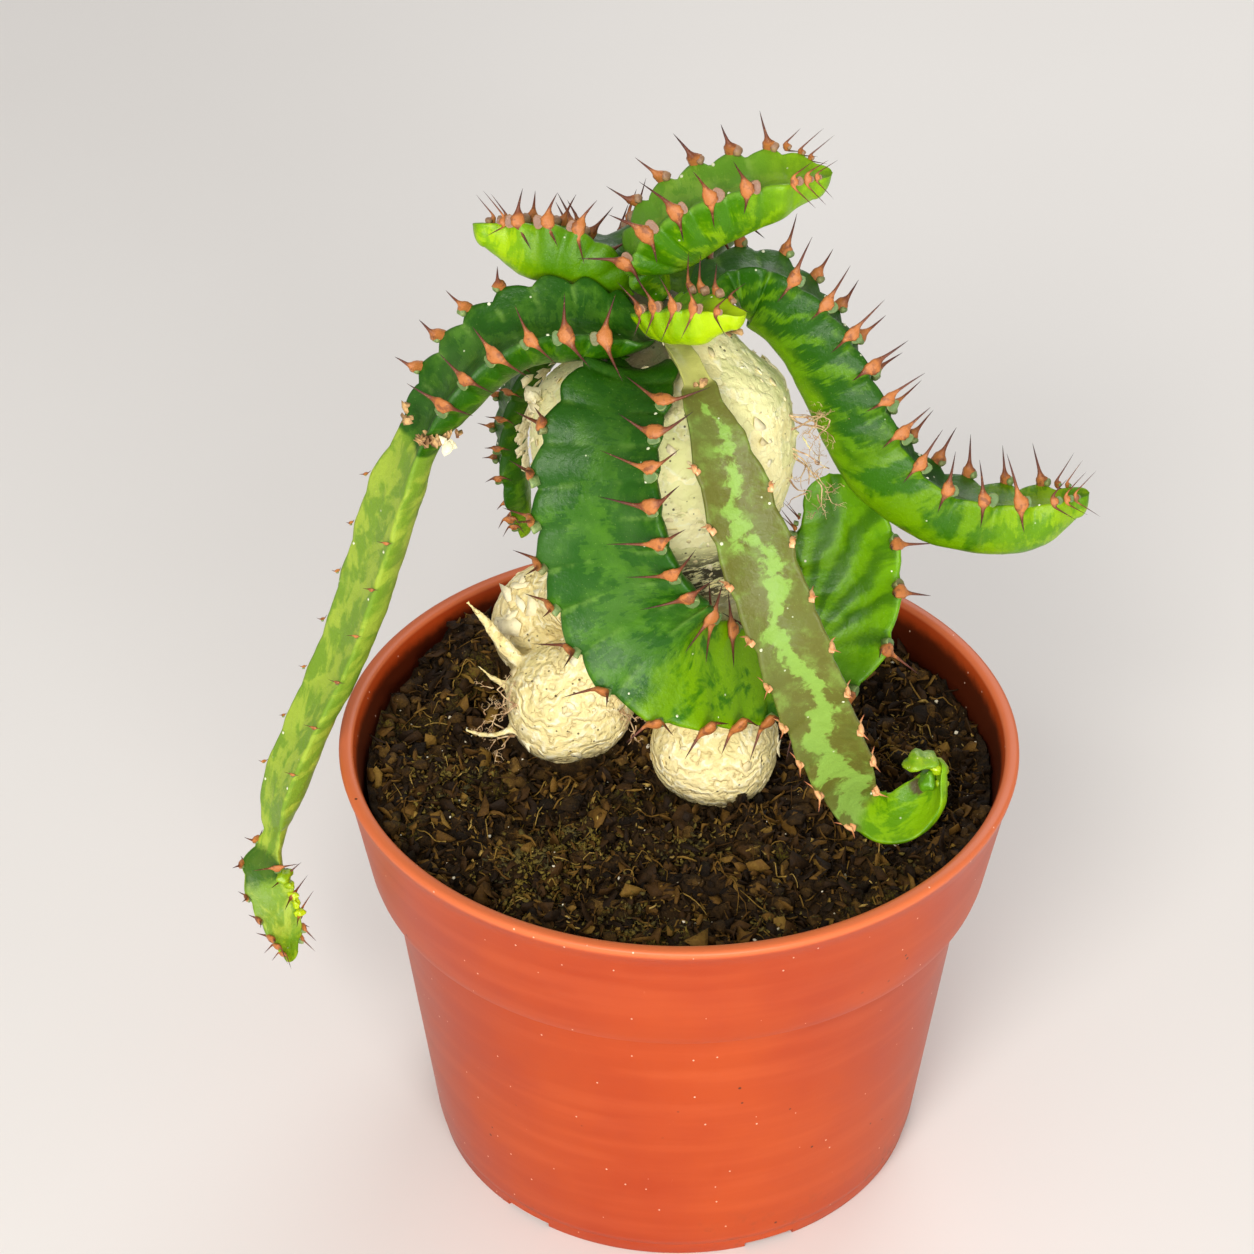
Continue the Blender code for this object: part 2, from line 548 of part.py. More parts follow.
def build_pot(parts, cutters, root):
    shoulder = POT_HEIGHT - COLLAR_HEIGHT
    body_top = COLLAR_FOOT_RADIUS - COLLAR_STEP
    profile = [
        (0.0, FLOOR),
        (inner_radius(FLOOR), FLOOR),
        (body_top - WALL, shoulder + WALL - 0.01),
        (COLLAR_FOOT_RADIUS - WALL, shoulder + WALL),
        (RIM_RADIUS - LIP_WIDTH, POT_HEIGHT - LIP_ROUND),
        (RIM_RADIUS - LIP_WIDTH + LIP_ROUND, POT_HEIGHT),
        (RIM_RADIUS - LIP_ROUND, POT_HEIGHT),
        (RIM_RADIUS, POT_HEIGHT - LIP_ROUND),
        (COLLAR_FOOT_RADIUS + 0.1, shoulder + 1.0),
        (COLLAR_FOOT_RADIUS - 0.6, shoulder),
        (body_top, shoulder),
        (BASE_RADIUS + 0.5, 3.0),
        (BASE_RADIUS, 2.6),
        (BASE_RADIUS - 0.2, 0.0),
        (0.0, 0.0),
    ]
    pot = turned("pot", profile, parts)
    cuts = []
    ring_outer = BASE_RADIUS - FOOT_WIDTH
    channel = [(PAD_RADIUS, CHANNEL_HEIGHT), (ring_outer, CHANNEL_HEIGHT), (ring_outer, -1.0),
               (PAD_RADIUS, -1.0)]
    cuts.append(turned("cut_channel", channel, cutters, 24, closed=True))
    for i in range(NOTCHES):
        angle = FIRST_NOTCH + 2 * math.pi * i / NOTCHES
        bm = bmesh.new()
        bmesh.ops.create_cube(bm, size=1.0)
        length = FOOT_WIDTH + 6.0
        bmesh.ops.scale(bm, vec=(length, NOTCH_WIDTH, CHANNEL_HEIGHT * 2), verts=bm.verts)
        bmesh.ops.translate(bm, vec=(BASE_RADIUS - FOOT_WIDTH + length / 2 - 2.0, 0, 0), verts=bm.verts)
        bmesh.ops.rotate(bm, matrix=Matrix.Rotation(angle, 3, "Z"), verts=bm.verts)
        cuts.append(make_object(f"cut_notch_{i}", bm, cutters))
        bm = bmesh.new()
        bmesh.ops.create_cone(bm, cap_ends=True, segments=8, radius1=DRAIN_RADIUS,
                              radius2=DRAIN_RADIUS, depth=4 * FLOOR)
        spot = (DRAIN_RING * math.cos(angle), DRAIN_RING * math.sin(angle), 0)
        bmesh.ops.translate(bm, vec=spot, verts=bm.verts)
        cuts.append(make_object(f"cut_drain_{i}", bm, cutters))
    for cut in cuts:
        cut.hide_render = True
        cut.display_type = "WIRE"
    combine(pot, cuts, "DIFFERENCE")
    pot.data.materials.clear()
    pot.data.materials.append(material("pot", TERRACOTTA, 0.38))
    pot.data.shade_smooth()
    pot.data.set_sharp_from_angle(angle=math.radians(30))
    pot.parent = root
    return pot


def soil_height(x, y):
    """Lumpy soil, piled up a little at the back left and hollow at the right."""
    level = SOIL_LEVEL + SOIL_LUMP * noise.noise(Vector((x, y, 3.0)) * 0.09)
    level += 4.5 * math.exp(-((x + 37) ** 2 + (y - 33) ** 2) / 150)
    level -= 1.6 * math.exp(-((x - 45) ** 2 + (y - 12) ** 2) / 400)
    return level


def tuber_mesh(tuber, grow, segments=14, rings=9):
    bm = bmesh.new()
    bmesh.ops.create_uvsphere(bm, u_segments=segments, v_segments=rings, radius=1.0)
    bmesh.ops.scale(bm, vec=[radius + grow for radius in tuber.radii], verts=bm.verts)
    bmesh.ops.translate(bm, vec=tuber.place, verts=bm.verts)
    return bm


def build_soil(parts, root):
    """Soil that fills the pot to its wall, with a plain hole for each tuber."""
    ledge = POT_HEIGHT - COLLAR_HEIGHT + WALL
    brim = SOIL_LEVEL - SOIL_BRIM
    wall = [
        (FLOOR + GAP, inner_radius(FLOOR + GAP)),
        (ledge + GAP, inner_radius(ledge - 0.01)),
        (ledge + 2 * GAP, inner_radius(ledge + GAP)),
        (brim, inner_radius(brim)),
    ]
    angles = [2 * math.pi * i / SOIL_SIDES for i in range(SOIL_SIDES)]
    flat = math.cos(math.pi / POT_SIDES)
    rings = []
    for height, radius in wall:
        radius = radius * flat - GAP
        rings.append([(radius * math.cos(a), radius * math.sin(a), height) for a in angles])
    for i in range(SOIL_RINGS):
        radius = (inner_radius(brim) * flat - GAP) * (1.0 - i / SOIL_RINGS)
        ring = []
        for a in angles:
            x = radius * math.cos(a)
            y = radius * math.sin(a)
            ring.append((x, y, soil_height(x, y)))
        rings.append(ring)
    soil = make_object("soil", ring_mesh(rings), parts)
    holes = [make_object("hole", tuber_mesh(tuber, GAP + HOLE_SLACK), parts) for tuber in TUBERS]
    combine(soil, holes, "DIFFERENCE")
    soil.data.materials.clear()
    soil.data.materials.append(material("soil", SOIL_BROWN, 0.95))
    soil.parent = root
    return soil


def tapered_tube(knots, sides, spacing):
    """A round body along a smooth route whose radius changes."""
    rows = [(*place, radius) for place, radius in knots]
    length = route_length(rows)
    distances = np.linspace(0.0, length, max(3, round(length / spacing) + 1))
    samples = smooth_samples(rows, distances)
    ways = np.gradient(samples[:, :3], axis=0)
    across = np.array([0.0, 1.0, 0.0])
    rings = []
    for sample, way in zip(samples, ways):
        way = unit(way)
        across = unit(across - way * across.dot(way))
        other = np.cross(way, across)
        ring = []
        for i in range(sides):
            angle = 2 * math.pi * i / sides
            ring.append(sample[:3] + sample[3] * (across * math.cos(angle) + other * math.sin(angle)))
        rings.append(ring)
    return ring_mesh(rings)


def build_caudex(parts, root):
    """The bulb, its tubers and rootlets grown into one body, with a seat for each branch."""
    caudex = make_object("caudex", tapered_tube(BULB_ROUTE, 16, 5.5), parts)
    pieces = [make_object("tuber", tuber_mesh(tuber, 0.0), parts) for tuber in TUBERS]
    pieces += [make_object("neck", tapered_tube(neck, 8, 7.0), parts) for neck in ROOT_NECKS]
    pieces += [make_object("rootlet", tapered_tube(route, 4, 4.5), parts) for route in ROOTLETS]
    combine(caudex, pieces, "UNION", "MANIFOLD")
    seats = [make_object("seat", branch_body(branch, GAP, SEAT_LENGTH), parts)
             for branch in BRANCHES]
    combine(caudex, seats, "DIFFERENCE", "MANIFOLD")
    caudex.data.materials.clear()
    caudex.data.materials.append(material("caudex", ROOT_CREAM, 0.8))
    caudex.parent = root
    return caudex


def main():
    for obj in list(bpy.data.objects):
        bpy.data.objects.remove(obj)
    parts = bpy.data.collections.new("potted_euphorbia_stellata")
    cutters = bpy.data.collections.new("cutters")
    for collection in (parts, cutters):
        bpy.context.scene.collection.children.link(collection)
    root = bpy.data.objects.new("potted_euphorbia_stellata", None)
    parts.objects.link(root)
    build_pot(parts, cutters, root)
    build_soil(parts, root)
    build_caudex(parts, root)
    for i, branch in enumerate(BRANCHES):
        build_branch(branch, BRANCHES[:i], root, parts)


main()
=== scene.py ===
"""Looks of a potted euphorbia stellata: fine skins, spines, wrinkled root, crumbly soil and pot.

Lengths are in millimetres, and MM turns them into metres where a mesh is made. Colours are
given as everyday 0-255 values and turned into linear ones.
"""

import math
import random
from collections import namedtuple

import bmesh
import bpy
import numpy as np
from mathutils import Matrix, Vector, noise


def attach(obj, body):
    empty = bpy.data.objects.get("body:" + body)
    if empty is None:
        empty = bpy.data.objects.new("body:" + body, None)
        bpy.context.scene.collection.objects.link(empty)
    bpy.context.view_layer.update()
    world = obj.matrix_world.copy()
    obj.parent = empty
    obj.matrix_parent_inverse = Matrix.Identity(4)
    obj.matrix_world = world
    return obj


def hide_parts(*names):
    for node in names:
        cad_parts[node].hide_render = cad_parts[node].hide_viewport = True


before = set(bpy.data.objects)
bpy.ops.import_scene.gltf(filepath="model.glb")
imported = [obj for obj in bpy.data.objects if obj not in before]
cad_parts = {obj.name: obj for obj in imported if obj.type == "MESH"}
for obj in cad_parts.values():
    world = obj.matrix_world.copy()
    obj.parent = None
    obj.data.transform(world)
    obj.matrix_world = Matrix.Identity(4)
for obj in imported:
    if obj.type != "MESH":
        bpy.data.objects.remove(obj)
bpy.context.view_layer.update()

MM = 0.001
SEED = 7

# Pot
RIM_RADIUS = 60.0
POT_HEIGHT = 84.5
COLLAR_HEIGHT = 24.2
COLLAR_FOOT_RADIUS = 55.2
COLLAR_STEP = 3.0
BASE_RADIUS = 44.5
WALL = 1.5
LIP_WIDTH = 2.6
FLOOR = 3.6
POT_SIDES = 192
PAD_RADIUS = 13.0
CHANNEL_HEIGHT = 1.3
FOOT_WIDTH = 7.5
NOTCH_WIDTH = 9.5
NOTCHES = 6
FIRST_NOTCH = math.radians(-128)
DRAIN_RADIUS = 3.5
DRAIN_RING = 25.0
SHOULDER = POT_HEIGHT - COLLAR_HEIGHT
LEDGE = SHOULDER + WALL

# Soil
SOIL_LEVEL = 77.3
SOIL_LUMP = 2.1
SOIL_MOUNDS = [
    # middle x, y, height, square of the spread
    (-37, 33, 4.5, 150), (45, 12, -1.6, 400),
]
CRUMBS = 2400
LITTER = 4500
SHREDS = 3500
FIBRES = 520
GRIT = 200
MOSS = [
    # middle x, y, spread, bits
    (-18, -22, 9, 560), (-26, -33, 8, 520), (16, -44, 6, 150), (-40, -6, 9, 320),
    (36, -28, 5, 60), (-8, -46, 9, 340), (2, -24, 7, 150), (30, 38, 8, 120), (-12, 46, 7, 120),
]

# Root
BULB_ROUTE = [
    # centre, radius
    ((-4.5, 8.0, 168.0), 4.5),
    ((-4.5, 8.0, 163.5), 7.0),
    ((-3.5, 7.5, 159.5), 11.5),
    ((-3.0, 6.0, 152.5), 19.5),
    ((-3.0, 6.0, 143.0), 22.3),
    ((-2.0, 6.0, 133.0), 21.0),
    ((-0.5, 5.5, 122.0), 17.0),
    ((1.5, 4.0, 111.0), 13.0),
    ((4.0, 1.0, 101.0), 10.5),
    ((6.0, -2.0, 92.0), 10.0),
]
Tuber = namedtuple("Tuber", "place radii")
TUBERS = [
    Tuber((6.4, -3.0, 83.5), (11.0, 11.0, 11.5)),
    Tuber((-19.4, 9.0, 84.5), (11.5, 11.3, 11.3)),
    Tuber((-23.0, 28.0, 88.0), (10.5, 10.0, 12.5)),
]
ROOT_NECKS = [
    [((0.0, 6.0, 112.0), 8.5), ((-7.0, 8.0, 102.0), 7.0), ((-15.0, 9.0, 92.0), 7.5)],
    [((-2.0, 9.0, 114.0), 8.0), ((-12.0, 17.0, 104.0), 7.0), ((-20.0, 25.0, 94.0), 7.5)],
]
ROOTLETS = [
    [((-24.0, 11.0, 88.0), 2.4), ((-30.5, 13.0, 93.0), 1.7), ((-34.0, 13.5, 98.5), 1.2),
     ((-37.5, 14.0, 103.0), 0.6)],
    [((-27.0, 10.0, 86.0), 1.4), ((-32.5, 10.0, 88.5), 0.9), ((-36.0, 11.0, 91.5), 0.5)],
    [((-27.0, 6.0, 82.0), 1.1), ((-33.5, 3.0, 81.5), 0.8), ((-38.0, 2.0, 83.5), 0.5)],
    [((14.0, 5.0, 146.0), 1.6), ((19.5, 3.0, 145.0), 1.0), ((21.5, 0.0, 143.5), 0.7),
     ((24.5, -3.0, 141.0), 0.5)],
    [((14.0, 8.0, 140.0), 1.4), ((19.0, 6.0, 139.5), 0.9), ((22.0, 4.0, 135.5), 0.5)],
]

ROOT_VOXEL = 0.58
FLAKES = 520
BEHIND_BITS = 70            # of dead skin along the underside of the branch behind
BEND_BITS = 5               # at the long branch's left bend
TORN_BITS = 26              # on the third tuber's left
GIRDLE_HEIGHT = 124.5       # of a blackened band on the root
# Root hairs: from where, which way, how long, how many
TWIGS = [
    ((16.5, 3.0, 149.0), (1.0, -0.15, -0.3), 9.5, 2),
    ((17.0, 2.0, 146.0), (1.0, -0.2, 0.05), 7.5, 1),
    ((17.5, 2.0, 143.0), (1.0, -0.25, -0.5), 11.5, 3),
    ((17.0, 1.0, 138.0), (0.8, -0.5, -0.5), 6.5, 1),
    ((-28.0, 3.5, 88.0), (-0.8, -0.4, 0.4), 6.0, 3),
    ((-10.0, 2.0, 88.0), (0.7, -0.6, -0.2), 6.0, 2),
    ((-29.0, 5.0, 80.0), (-1.0, -0.3, 0.1), 7.0, 3),
]
# Where dead skin has dried on: middle, spread along the three axes, how many bits, their size
PEEL_SPOTS = [
    ((-24.6, 4.0, 150.0), (0.8, 1.6, 3.5), 22, 1.5),
    ((-24.2, 1.0, 142.0), (0.6, 1.6, 2.5), 12, 1.2),
]
BRACT_SPOTS = [
    ((-45.4, -6.5, 153.6), (0.8, 1.2, 0.9), 10, 1.2),
    ((-41.5, -7.3, 150.2), (2.4, 0.8, 0.6), 18, 1.2),
    ((-37.0, -6.5, 151.0), (1.2, 1.0, 0.6), 6, 1.0),
    ((2.0, -5.0, 170.0), (4.0, 2.0, 1.2), 30, 1.3),
]

# Branches: a row has the middle of the channelled face (x, y, z), half the width between the
# toothed margins, the depth of the round underside, and the way that the face looks (x, y, z).
# A run of teeth: the way along of the first and the last, their pitch, how far they stand out
# as a share of the half width, the spines' length, the shields' size and the lobes' height.
Run = namedtuple("Run", "first last pitch wave spine size lobe")
Branch = namedtuple("Branch", "name stations runs channel look bud")

LEFT_LONG = Branch("branch_left_long", [
    (-5, 2.5, 165, 3, 3.5, 0.3, -0.2, 1),
    (-9, 1, 168, 6, 7.5, 0.1, -0.25, 1),
    (-16.5, -0.5, 171, 7.2, 10, 0, -0.3, 1),
    (-24.5, -1.5, 171, 7.3, 10, -0.15, -0.3, 1),
    (-31, -2.5, 168.5, 7.2, 9.5, -0.4, -0.3, 0.9),
    (-37.5, -3, 162.5, 7, 9, -0.65, -0.3, 0.7),
    (-42.5, -3, 154.5, 6, 7.5, -0.8, -0.35, 0.45),
    (-45, -3, 148, 4.4, 5.5, -0.85, -0.4, 0.3),
    (-49.5, -3, 137.5, 5.4, 7, -0.8, -0.55, 0.25),
    (-54, -3, 122.5, 5.3, 7, -0.8, -0.55, 0.25),
    (-59.5, -4, 105.5, 5, 6.5, -0.8, -0.55, 0.25),
    (-66.5, -6.5, 90, 4.4, 6, -0.8, -0.55, 0.3),
    (-72, -8.5, 75, 4, 5.5, -0.8, -0.55, 0.2),
    (-72.5, -9, 68, 2.4, 3, -0.6, -0.6, 0.3),
    (-74, -10.5, 62, 4.2, 3.4, -0.35, -0.7, 0.6),
    (-72.2, -12.5, 56, 4, 3.4, 0.1, -0.8, 0.6),
    (-70, -13.5, 50, 3.4, 3, 0.5, -0.8, 0.3),
    (-69.5, -13.5, 44.5, 1.6, 1.6, 0.7, -0.6, 0.1),
], [Run(6.0, 46.0, 6.4, 0.22, 6.5, 1.0, 0.5), Run(66.0, 130.0, 10.0, 0.06, 1.5, 0.28, 0.1),
    Run(141.0, 160.0, 4.2, 0.16, 3.8, 0.62, 0.3)], 2.2, "dark", "green")

LEFT_SHORT = Branch("branch_left_short", [
    (-8.5, 11.5, 166.5, 2.8, 3.5, 0.4, 0.4, 0.9),
    (-13.5, 12.5, 175.5, 5.2, 8.5, 0.1, 0.45, 0.9),
    (-19.5, 13, 178.5, 5.2, 9.5, -0.05, 0.45, 0.9),
    (-26.5, 12.5, 179.5, 4.6, 8.5, -0.1, 0.45, 0.9),
    (-32.5, 11.5, 180, 2.2, 4, -0.2, 0.4, 0.9),
], [Run(7.0, 26.0, 5.0, 0.22, 6.0, 0.95, 0.5)], 1.4, "fresh", "brown")

RIGHT_UP = Branch("branch_right_up", [
    (-5, 8.5, 167.5, 3, 3.5, -0.9, 0, 0.4),
    (-9.5, 8.5, 175, 6, 10, -0.9, -0.05, 0.5),
    (-7, 8, 182, 6.6, 12, -0.75, -0.05, 0.75),
    (-1.5, 8, 187, 6.7, 12, -0.5, -0.05, 0.9),
    (5, 8, 190, 6.6, 11.5, -0.3, -0.05, 0.95),
    (11.5, 8, 191.5, 6.4, 10, -0.2, -0.05, 1),
    (17.5, 8, 192, 5.4, 8, -0.1, -0.05, 1),
    (21.5, 8, 191.5, 2.8, 5, 0, 0, 1),
], [Run(6.0, 40.0, 6.0, 0.2, 6.0, 1.05, 1.0)], 2.2, "green", "brown")

FRONT_BUD = Branch("branch_front_bud", [
    (-3.5, 4.5, 167, 2.8, 3, -0.3, 0.3, 0.9),
    (-4.5, -2, 172.5, 4.4, 6, -0.3, 0.2, 0.95),
    (-1, -7, 176, 4.8, 7, -0.1, 0.2, 0.95),
    (4, -10.5, 177.5, 4.2, 6.5, 0, 0.2, 0.95),
    (8, -13, 177.5, 2, 3, 0, 0.2, 0.95),
], [Run(5.0, 21.5, 3.3, 0.2, 5.5, 0.75, 0.4)], 1.2, "bud", "brown")

RIGHT_ARCH = Branch("branch_right_arch", [
    (0.5, 9, 166, 2.8, 3.5, -0.2, 0.2, 0.9),
    (6, 13, 171.5, 5.4, 8.5, -0.1, 0.2, 0.95),
    (13.5, 14, 172, 6.4, 11.5, 0.15, 0.2, 0.95),
    (21, 12.5, 168, 6.6, 12, 0.5, 0.2, 0.8),
    (28, 10, 160, 6.6, 12, 0.75, 0.2, 0.6),
    (33.5, 7, 149.5, 6.4, 12, 0.8, 0.2, 0.45),
    (38.5, 4, 141, 6.4, 12, 0.65, 0.2, 0.7),
    (44.5, 2, 136, 6.6, 11, 0.4, 0.2, 0.9),
    (52.5, 1, 134, 6.4, 10.5, 0.1, 0.25, 0.95),
    (60.5, 0.5, 134, 5.6, 9, -0.05, 0.25, 0.95),
    (66.5, 0.5, 134.5, 2.6, 4.5, -0.1, 0.2, 0.95),
], [Run(9.0, 84.5, 6.4, 0.2, 6.2, 0.95, 0.7)], 2.0, "arch", "green")

FRONT_CURL = Branch("branch_front_curl", [
    (-7, 0, 161.5, 4, 3, -0.1, -0.2, 0.95),
    (-8, -6.5, 163.5, 7.6, 4, -0.1, -0.4, 0.9),
    (-11.5, -14, 161, 9.6, 5, -0.3, -0.7, 0.7),
    (-14, -20.5, 155, 11, 5.5, -0.4, -0.85, 0.45),
    (-14, -25, 146.5, 11.6, 5.5, -0.4, -0.9, 0.25),
    (-11.5, -27, 136, 12.2, 5.5, -0.35, -0.9, 0.2),
    (-7, -27, 126, 12.2, 5.5, -0.25, -0.85, 0.4),
    (-1, -25.5, 118, 11, 5.5, -0.1, -0.8, 0.55),
    (7, -20.5, 112, 9.2, 5, -0.1, -0.75, 0.65),
    (14, -15, 107.5, 8, 4.5, -0.1, -0.8, 0.6),
    (20.5, -10.5, 105, 7.8, 4.5, -0.15, -0.85, 0.5),
    (26.5, -6.5, 107, 8, 4.5, -0.2, -0.9, 0.4),
    (29.5, -2.5, 112.5, 8.2, 4.5, -0.2, -0.93, 0.3),
    (29, 1.5, 118.5, 9.4, 4.5, -0.2, -0.93, 0.3),
    (27.6, 5, 123.5, 9, 4, -0.2, -0.93, 0.3),
    (26.6, 8, 127.5, 6, 3, -0.2, -0.93, 0.3),
], [Run(8.0, 127.5, 6.6, 0.1, 6.5, 1.0, 0.6)], 1.4, "curl", "green")

FRONT_HANGING = Branch("branch_front_hanging", [
    (-1.5, -0.5, 165, 2.2, 2.5, 0, -0.4, 0.9),
    (0.5, -7, 165.5, 2.6, 3, 0, -0.4, 0.9),
    (3, -14.5, 162.5, 3.2, 3.5, 0.1, -0.7, 0.7),
    (6, -21.5, 156.5, 5, 4, 0.1, -0.85, 0.5),
    (9.5, -27, 148, 6, 4.5, 0.1, -0.92, 0.35),
    (13.5, -32.5, 138, 6.2, 4.5, 0.1, -0.95, 0.25),
    (18, -35, 126.5, 6.2, 4.5, 0.1, -0.98, 0.15),
    (22.5, -33.5, 112, 6.1, 4.5, 0.1, -0.98, 0),
    (27, -30, 98.5, 5.6, 4.5, 0.1, -0.95, 0.15),
    (31.5, -25.5, 87, 4, 4, 0.1, -0.85, 0.5),
    (36.5, -23.5, 84, 4.8, 4, -0.1, -0.6, 0.8),
    (41.5, -22, 87, 4.6, 3.5, -0.6, -0.5, 0.6),
    (43.5, -21, 92.5, 2, 2, -0.9, -0.4, 0.2),
], [Run(26.0, 104.0, 9.5, 0.09, 2.6, 0.62, 0.15)], 0.8, "olive", "stub")

LEFT_BEHIND = Branch("branch_left_behind", [
    (-12.5, 11.5, 161, 2.4, 3, -0.5, 0.2, 0.9),
    (-20.5, 18.5, 157, 4.6, 4.5, -0.7, 0.2, 0.7),
    (-28, 22.5, 146, 5, 5, -0.9, 0, 0.4),
    (-31.5, 24, 133, 5, 5, -0.95, -0.1, 0.1),
    (-31, 24.5, 120.5, 4.8, 5, -0.95, -0.1, -0.2),
    (-28.5, 25, 111, 2, 2.5, -0.95, -0.1, -0.3),
], [Run(10.0, 52.0, 6.4, 0.16, 2.6, 0.6, 0.3)], 1.2, "dark", "green")

BACK = Branch("branch_back", [
    (-6.5, 13.5, 165, 2.6, 3, 0, -0.3, 0.9),
    (-10, 20.5, 171, 5.4, 6, -0.1, -0.1, 1),
    (-12, 28, 170.5, 5.8, 7.5, -0.1, 0.3, 1),
    (-14, 36, 165, 5.4, 7, -0.1, 0.6, 0.8),
    (-15.5, 42, 156.5, 4, 5, -0.1, 0.8, 0.6),
    (-16, 45, 149, 1.8, 2.4, -0.1, 0.9, 0.4),
], [Run(8.0, 42.0, 6.0, 0.2, 5.5, 0.95, 0.6)], 1.6, "dark", "brown")

BACK_STUB = Branch("branch_back_stub", [
    (-1, 13.5, 165, 2.6, 3, -0.2, -0.2, 0.9),
    (1.5, 22.5, 170, 4.4, 5.5, -0.1, 0, 1),
    (6.5, 30, 171, 4.6, 5.5, 0.1, 0.2, 1),
    (11, 36, 167.5, 1.8, 2.2, 0.3, 0.4, 0.9),
], [Run(9.0, 23.0, 5.4, 0.2, 5.0, 0.9, 0.4)], 1.2, "fresh", "brown")

BRANCHES = [RIGHT_UP, LEFT_LONG, RIGHT_ARCH, FRONT_CURL, FRONT_HANGING, LEFT_SHORT,
            FRONT_BUD, LEFT_BEHIND, BACK, BACK_STUB]

# The curled branch's last lobe is folded like a fan from this x and z
FAN_FROM = (19.0, 104.0)
RING_STEP = 0.46        # between the rings of a branch's skin
FACE_STEPS = 28         # points across the channelled face, and round the underside
UNDER_STEPS = 30
NOTCH_PHASE = 1.0 / 3.0
TEETH_SHIFT = 1.0 / 3.0
MARGIN_LIFT = 0.12
TOOTHLESS = 0.6
TIP_STEPS = 9
TIP_REACH = 0.85
# Later growths are paler and mottled: from one way along to another, and over what length
PALE_GROWTH = {
    "branch_left_long": [(55.0, 200.0, 1.5)],
    "branch_front_curl": [(66.0, 92.0, 9.0), (104.0, 200.0, 6.0)],
    "branch_front_hanging": [(104.0, 200.0, 5.0)],
    "branch_right_arch": [(54.0, 200.0, 12.0)],
}
NECK_LENGTH = 12.5      # the hanging branch's plain round neck
BRUISE_AT = 116.5       # the way along the hanging branch to its brown spot
SHADED_CUP_AT = 145.0    # the way along the long branch to its narrow cup, whose face is painted darker green as shade
SMOOTH_END = 98.0       # the curled branch's pale growth is flatter up to this way along
FOLDS_FROM = (100.0, 110.0)    # the folds of its last lobe come up between these
SKIN_WAVER = 0.28       # how far the skin wavers in and out
# The two spines of a shield as parts outward, over the face and forward: the one on the face's
# side and the one on the underside, by margin
SPINES = {
    "branch_left_long": {-1: ((-2.4, 4.8, 0.2), (4.8, -0.8, -2.6)),
                         1: ((0.8, 3.4, -0.4), (2.0, -2.8, -0.6))},
    "branch_right_up": {1: ((1.2, 5.8, -0.8), (3.8, -2.2, -1.0)),
                        -1: ((1.6, 3.8, -1.2), (3.2, -2.6, -1.4))},
    "branch_left_short": {-1: ((2.2, 4.2, -1.2), (2.4, -3.4, -2.2)),
                          1: ((1.6, 4.4, -1.0), (2.4, -2.6, -1.0))},
    "branch_right_arch": {1: ((0.6, 6.3, -1.6), (1.8, -2.7, 0.1)),
                          -1: ((1.8, 4.6, -0.8), (2.4, -2.6, -0.3))},
    "branch_front_curl": {-1: ((-0.3, 5.3, -1.4), (2.8, -3.8, -3.2)),
                          1: ((0.8, 4.4, -0.8), (4.8, -1.6, -1.2))},
}
FAR_MARGIN = {"branch_left_long": 1, "branch_right_up": -1, "branch_right_arch": -1}
OTHER_SPINES = {side: ((2.2, 4.6, -0.5), (2.8, -3.6, -0.6)) for side in (1, -1)}
SPINE_UNIT = 6.2        # the length that these are given for
# The channelled face of the curled branch turns its inner margin towards the front up to here
ROLLED = {"branch_front_curl": (80.0, math.radians(72))}
SLOTS = {"dark": "dark_branch", "curl": "dark_branch", "arch": "dark_branch",
         "green": "dark_branch", "fresh": "fresh_branch",
         "bud": "fresh_branch", "olive": "dull_branch"}
TIP_TEETH = (4.4, 2.2, 0.6)      # how far back from the tip
TIP_SPINES = ((1.0, 3.6, 3.0), (2.6, -1.6, 3.4))
# A shield and its spines from tip to tip: how far along the spine, the reach backward and
# forward of its middle line, and the height
SPINDLE = [
    (0.0, 1.15, 1.2, 0.42), (0.08, 1.12, 1.35, 0.42), (0.16, 0.98, 1.05, 0.4),
    (0.22, 0.72, 0.68, 0.37), (0.28, 0.46, 0.4, 0.33), (0.36, 0.3, 0.28, 0.28),
    (0.47, 0.23, 0.23, 0.23), (0.65, 0.16, 0.16, 0.16), (0.85, 0.085, 0.085, 0.085),
    (1.0, 0.015, 0.015, 0.015),
]
SPINDLE = [(-t, *rest) for t, *rest in SPINDLE[:0:-1]] + SPINDLE
SPINDLE_SIDES = 8
# A leaf scar's rings from its root to its crown: radius, height, shade
SCAR_RINGS = [(0.8, -1.6, 0.7), (1.0, -0.5, 0.7), (1.05, -0.05, 0.8), (1.0, 0.1, 0.8),
              (0.86, 0.13, 0.5), (0.6, 0.06, 0.1)]
# Small swellings: where, their size, and how yellow
LUMPS = [((40.6, -20.8, 94.0), 2.3, 0.35), ((43.6, -20.4, 92.6), 2.0, 0.6),
         ((42.2, -21.6, 90.6), 2.0, 0.1), ((44.6, -21.4, 89.6), 1.6, 0.5)]
SWELLING_BUDS = (147.5, 149.8, 152.0, 154.2, 156.2)    # ways along the long branch

# Lights in metres: name, place, size, power, colour
LIGHTS = [
    ("key", (-0.28, -0.85, 0.72), 0.42, 8.0, (1.0, 0.98, 0.94)),
    ("fill", (0.24, -0.95, 0.3), 0.5, 7.0, (1.0, 0.99, 0.96)),
    ("back", (0.25, 0.65, 0.6), 0.5, 2.0, (1.0, 1.0, 1.0)),
]
LIGHTS_AIM = (0.0, 0.0, 0.11)


# Colours and materials

def srgb(red, green, blue):
    """A linear colour from an everyday 0-255 one."""
    return tuple(((c / 255) / 12.92 if c < 10.3 else ((c / 255 + 0.055) / 1.055) ** 2.4)
                 for c in (red, green, blue))


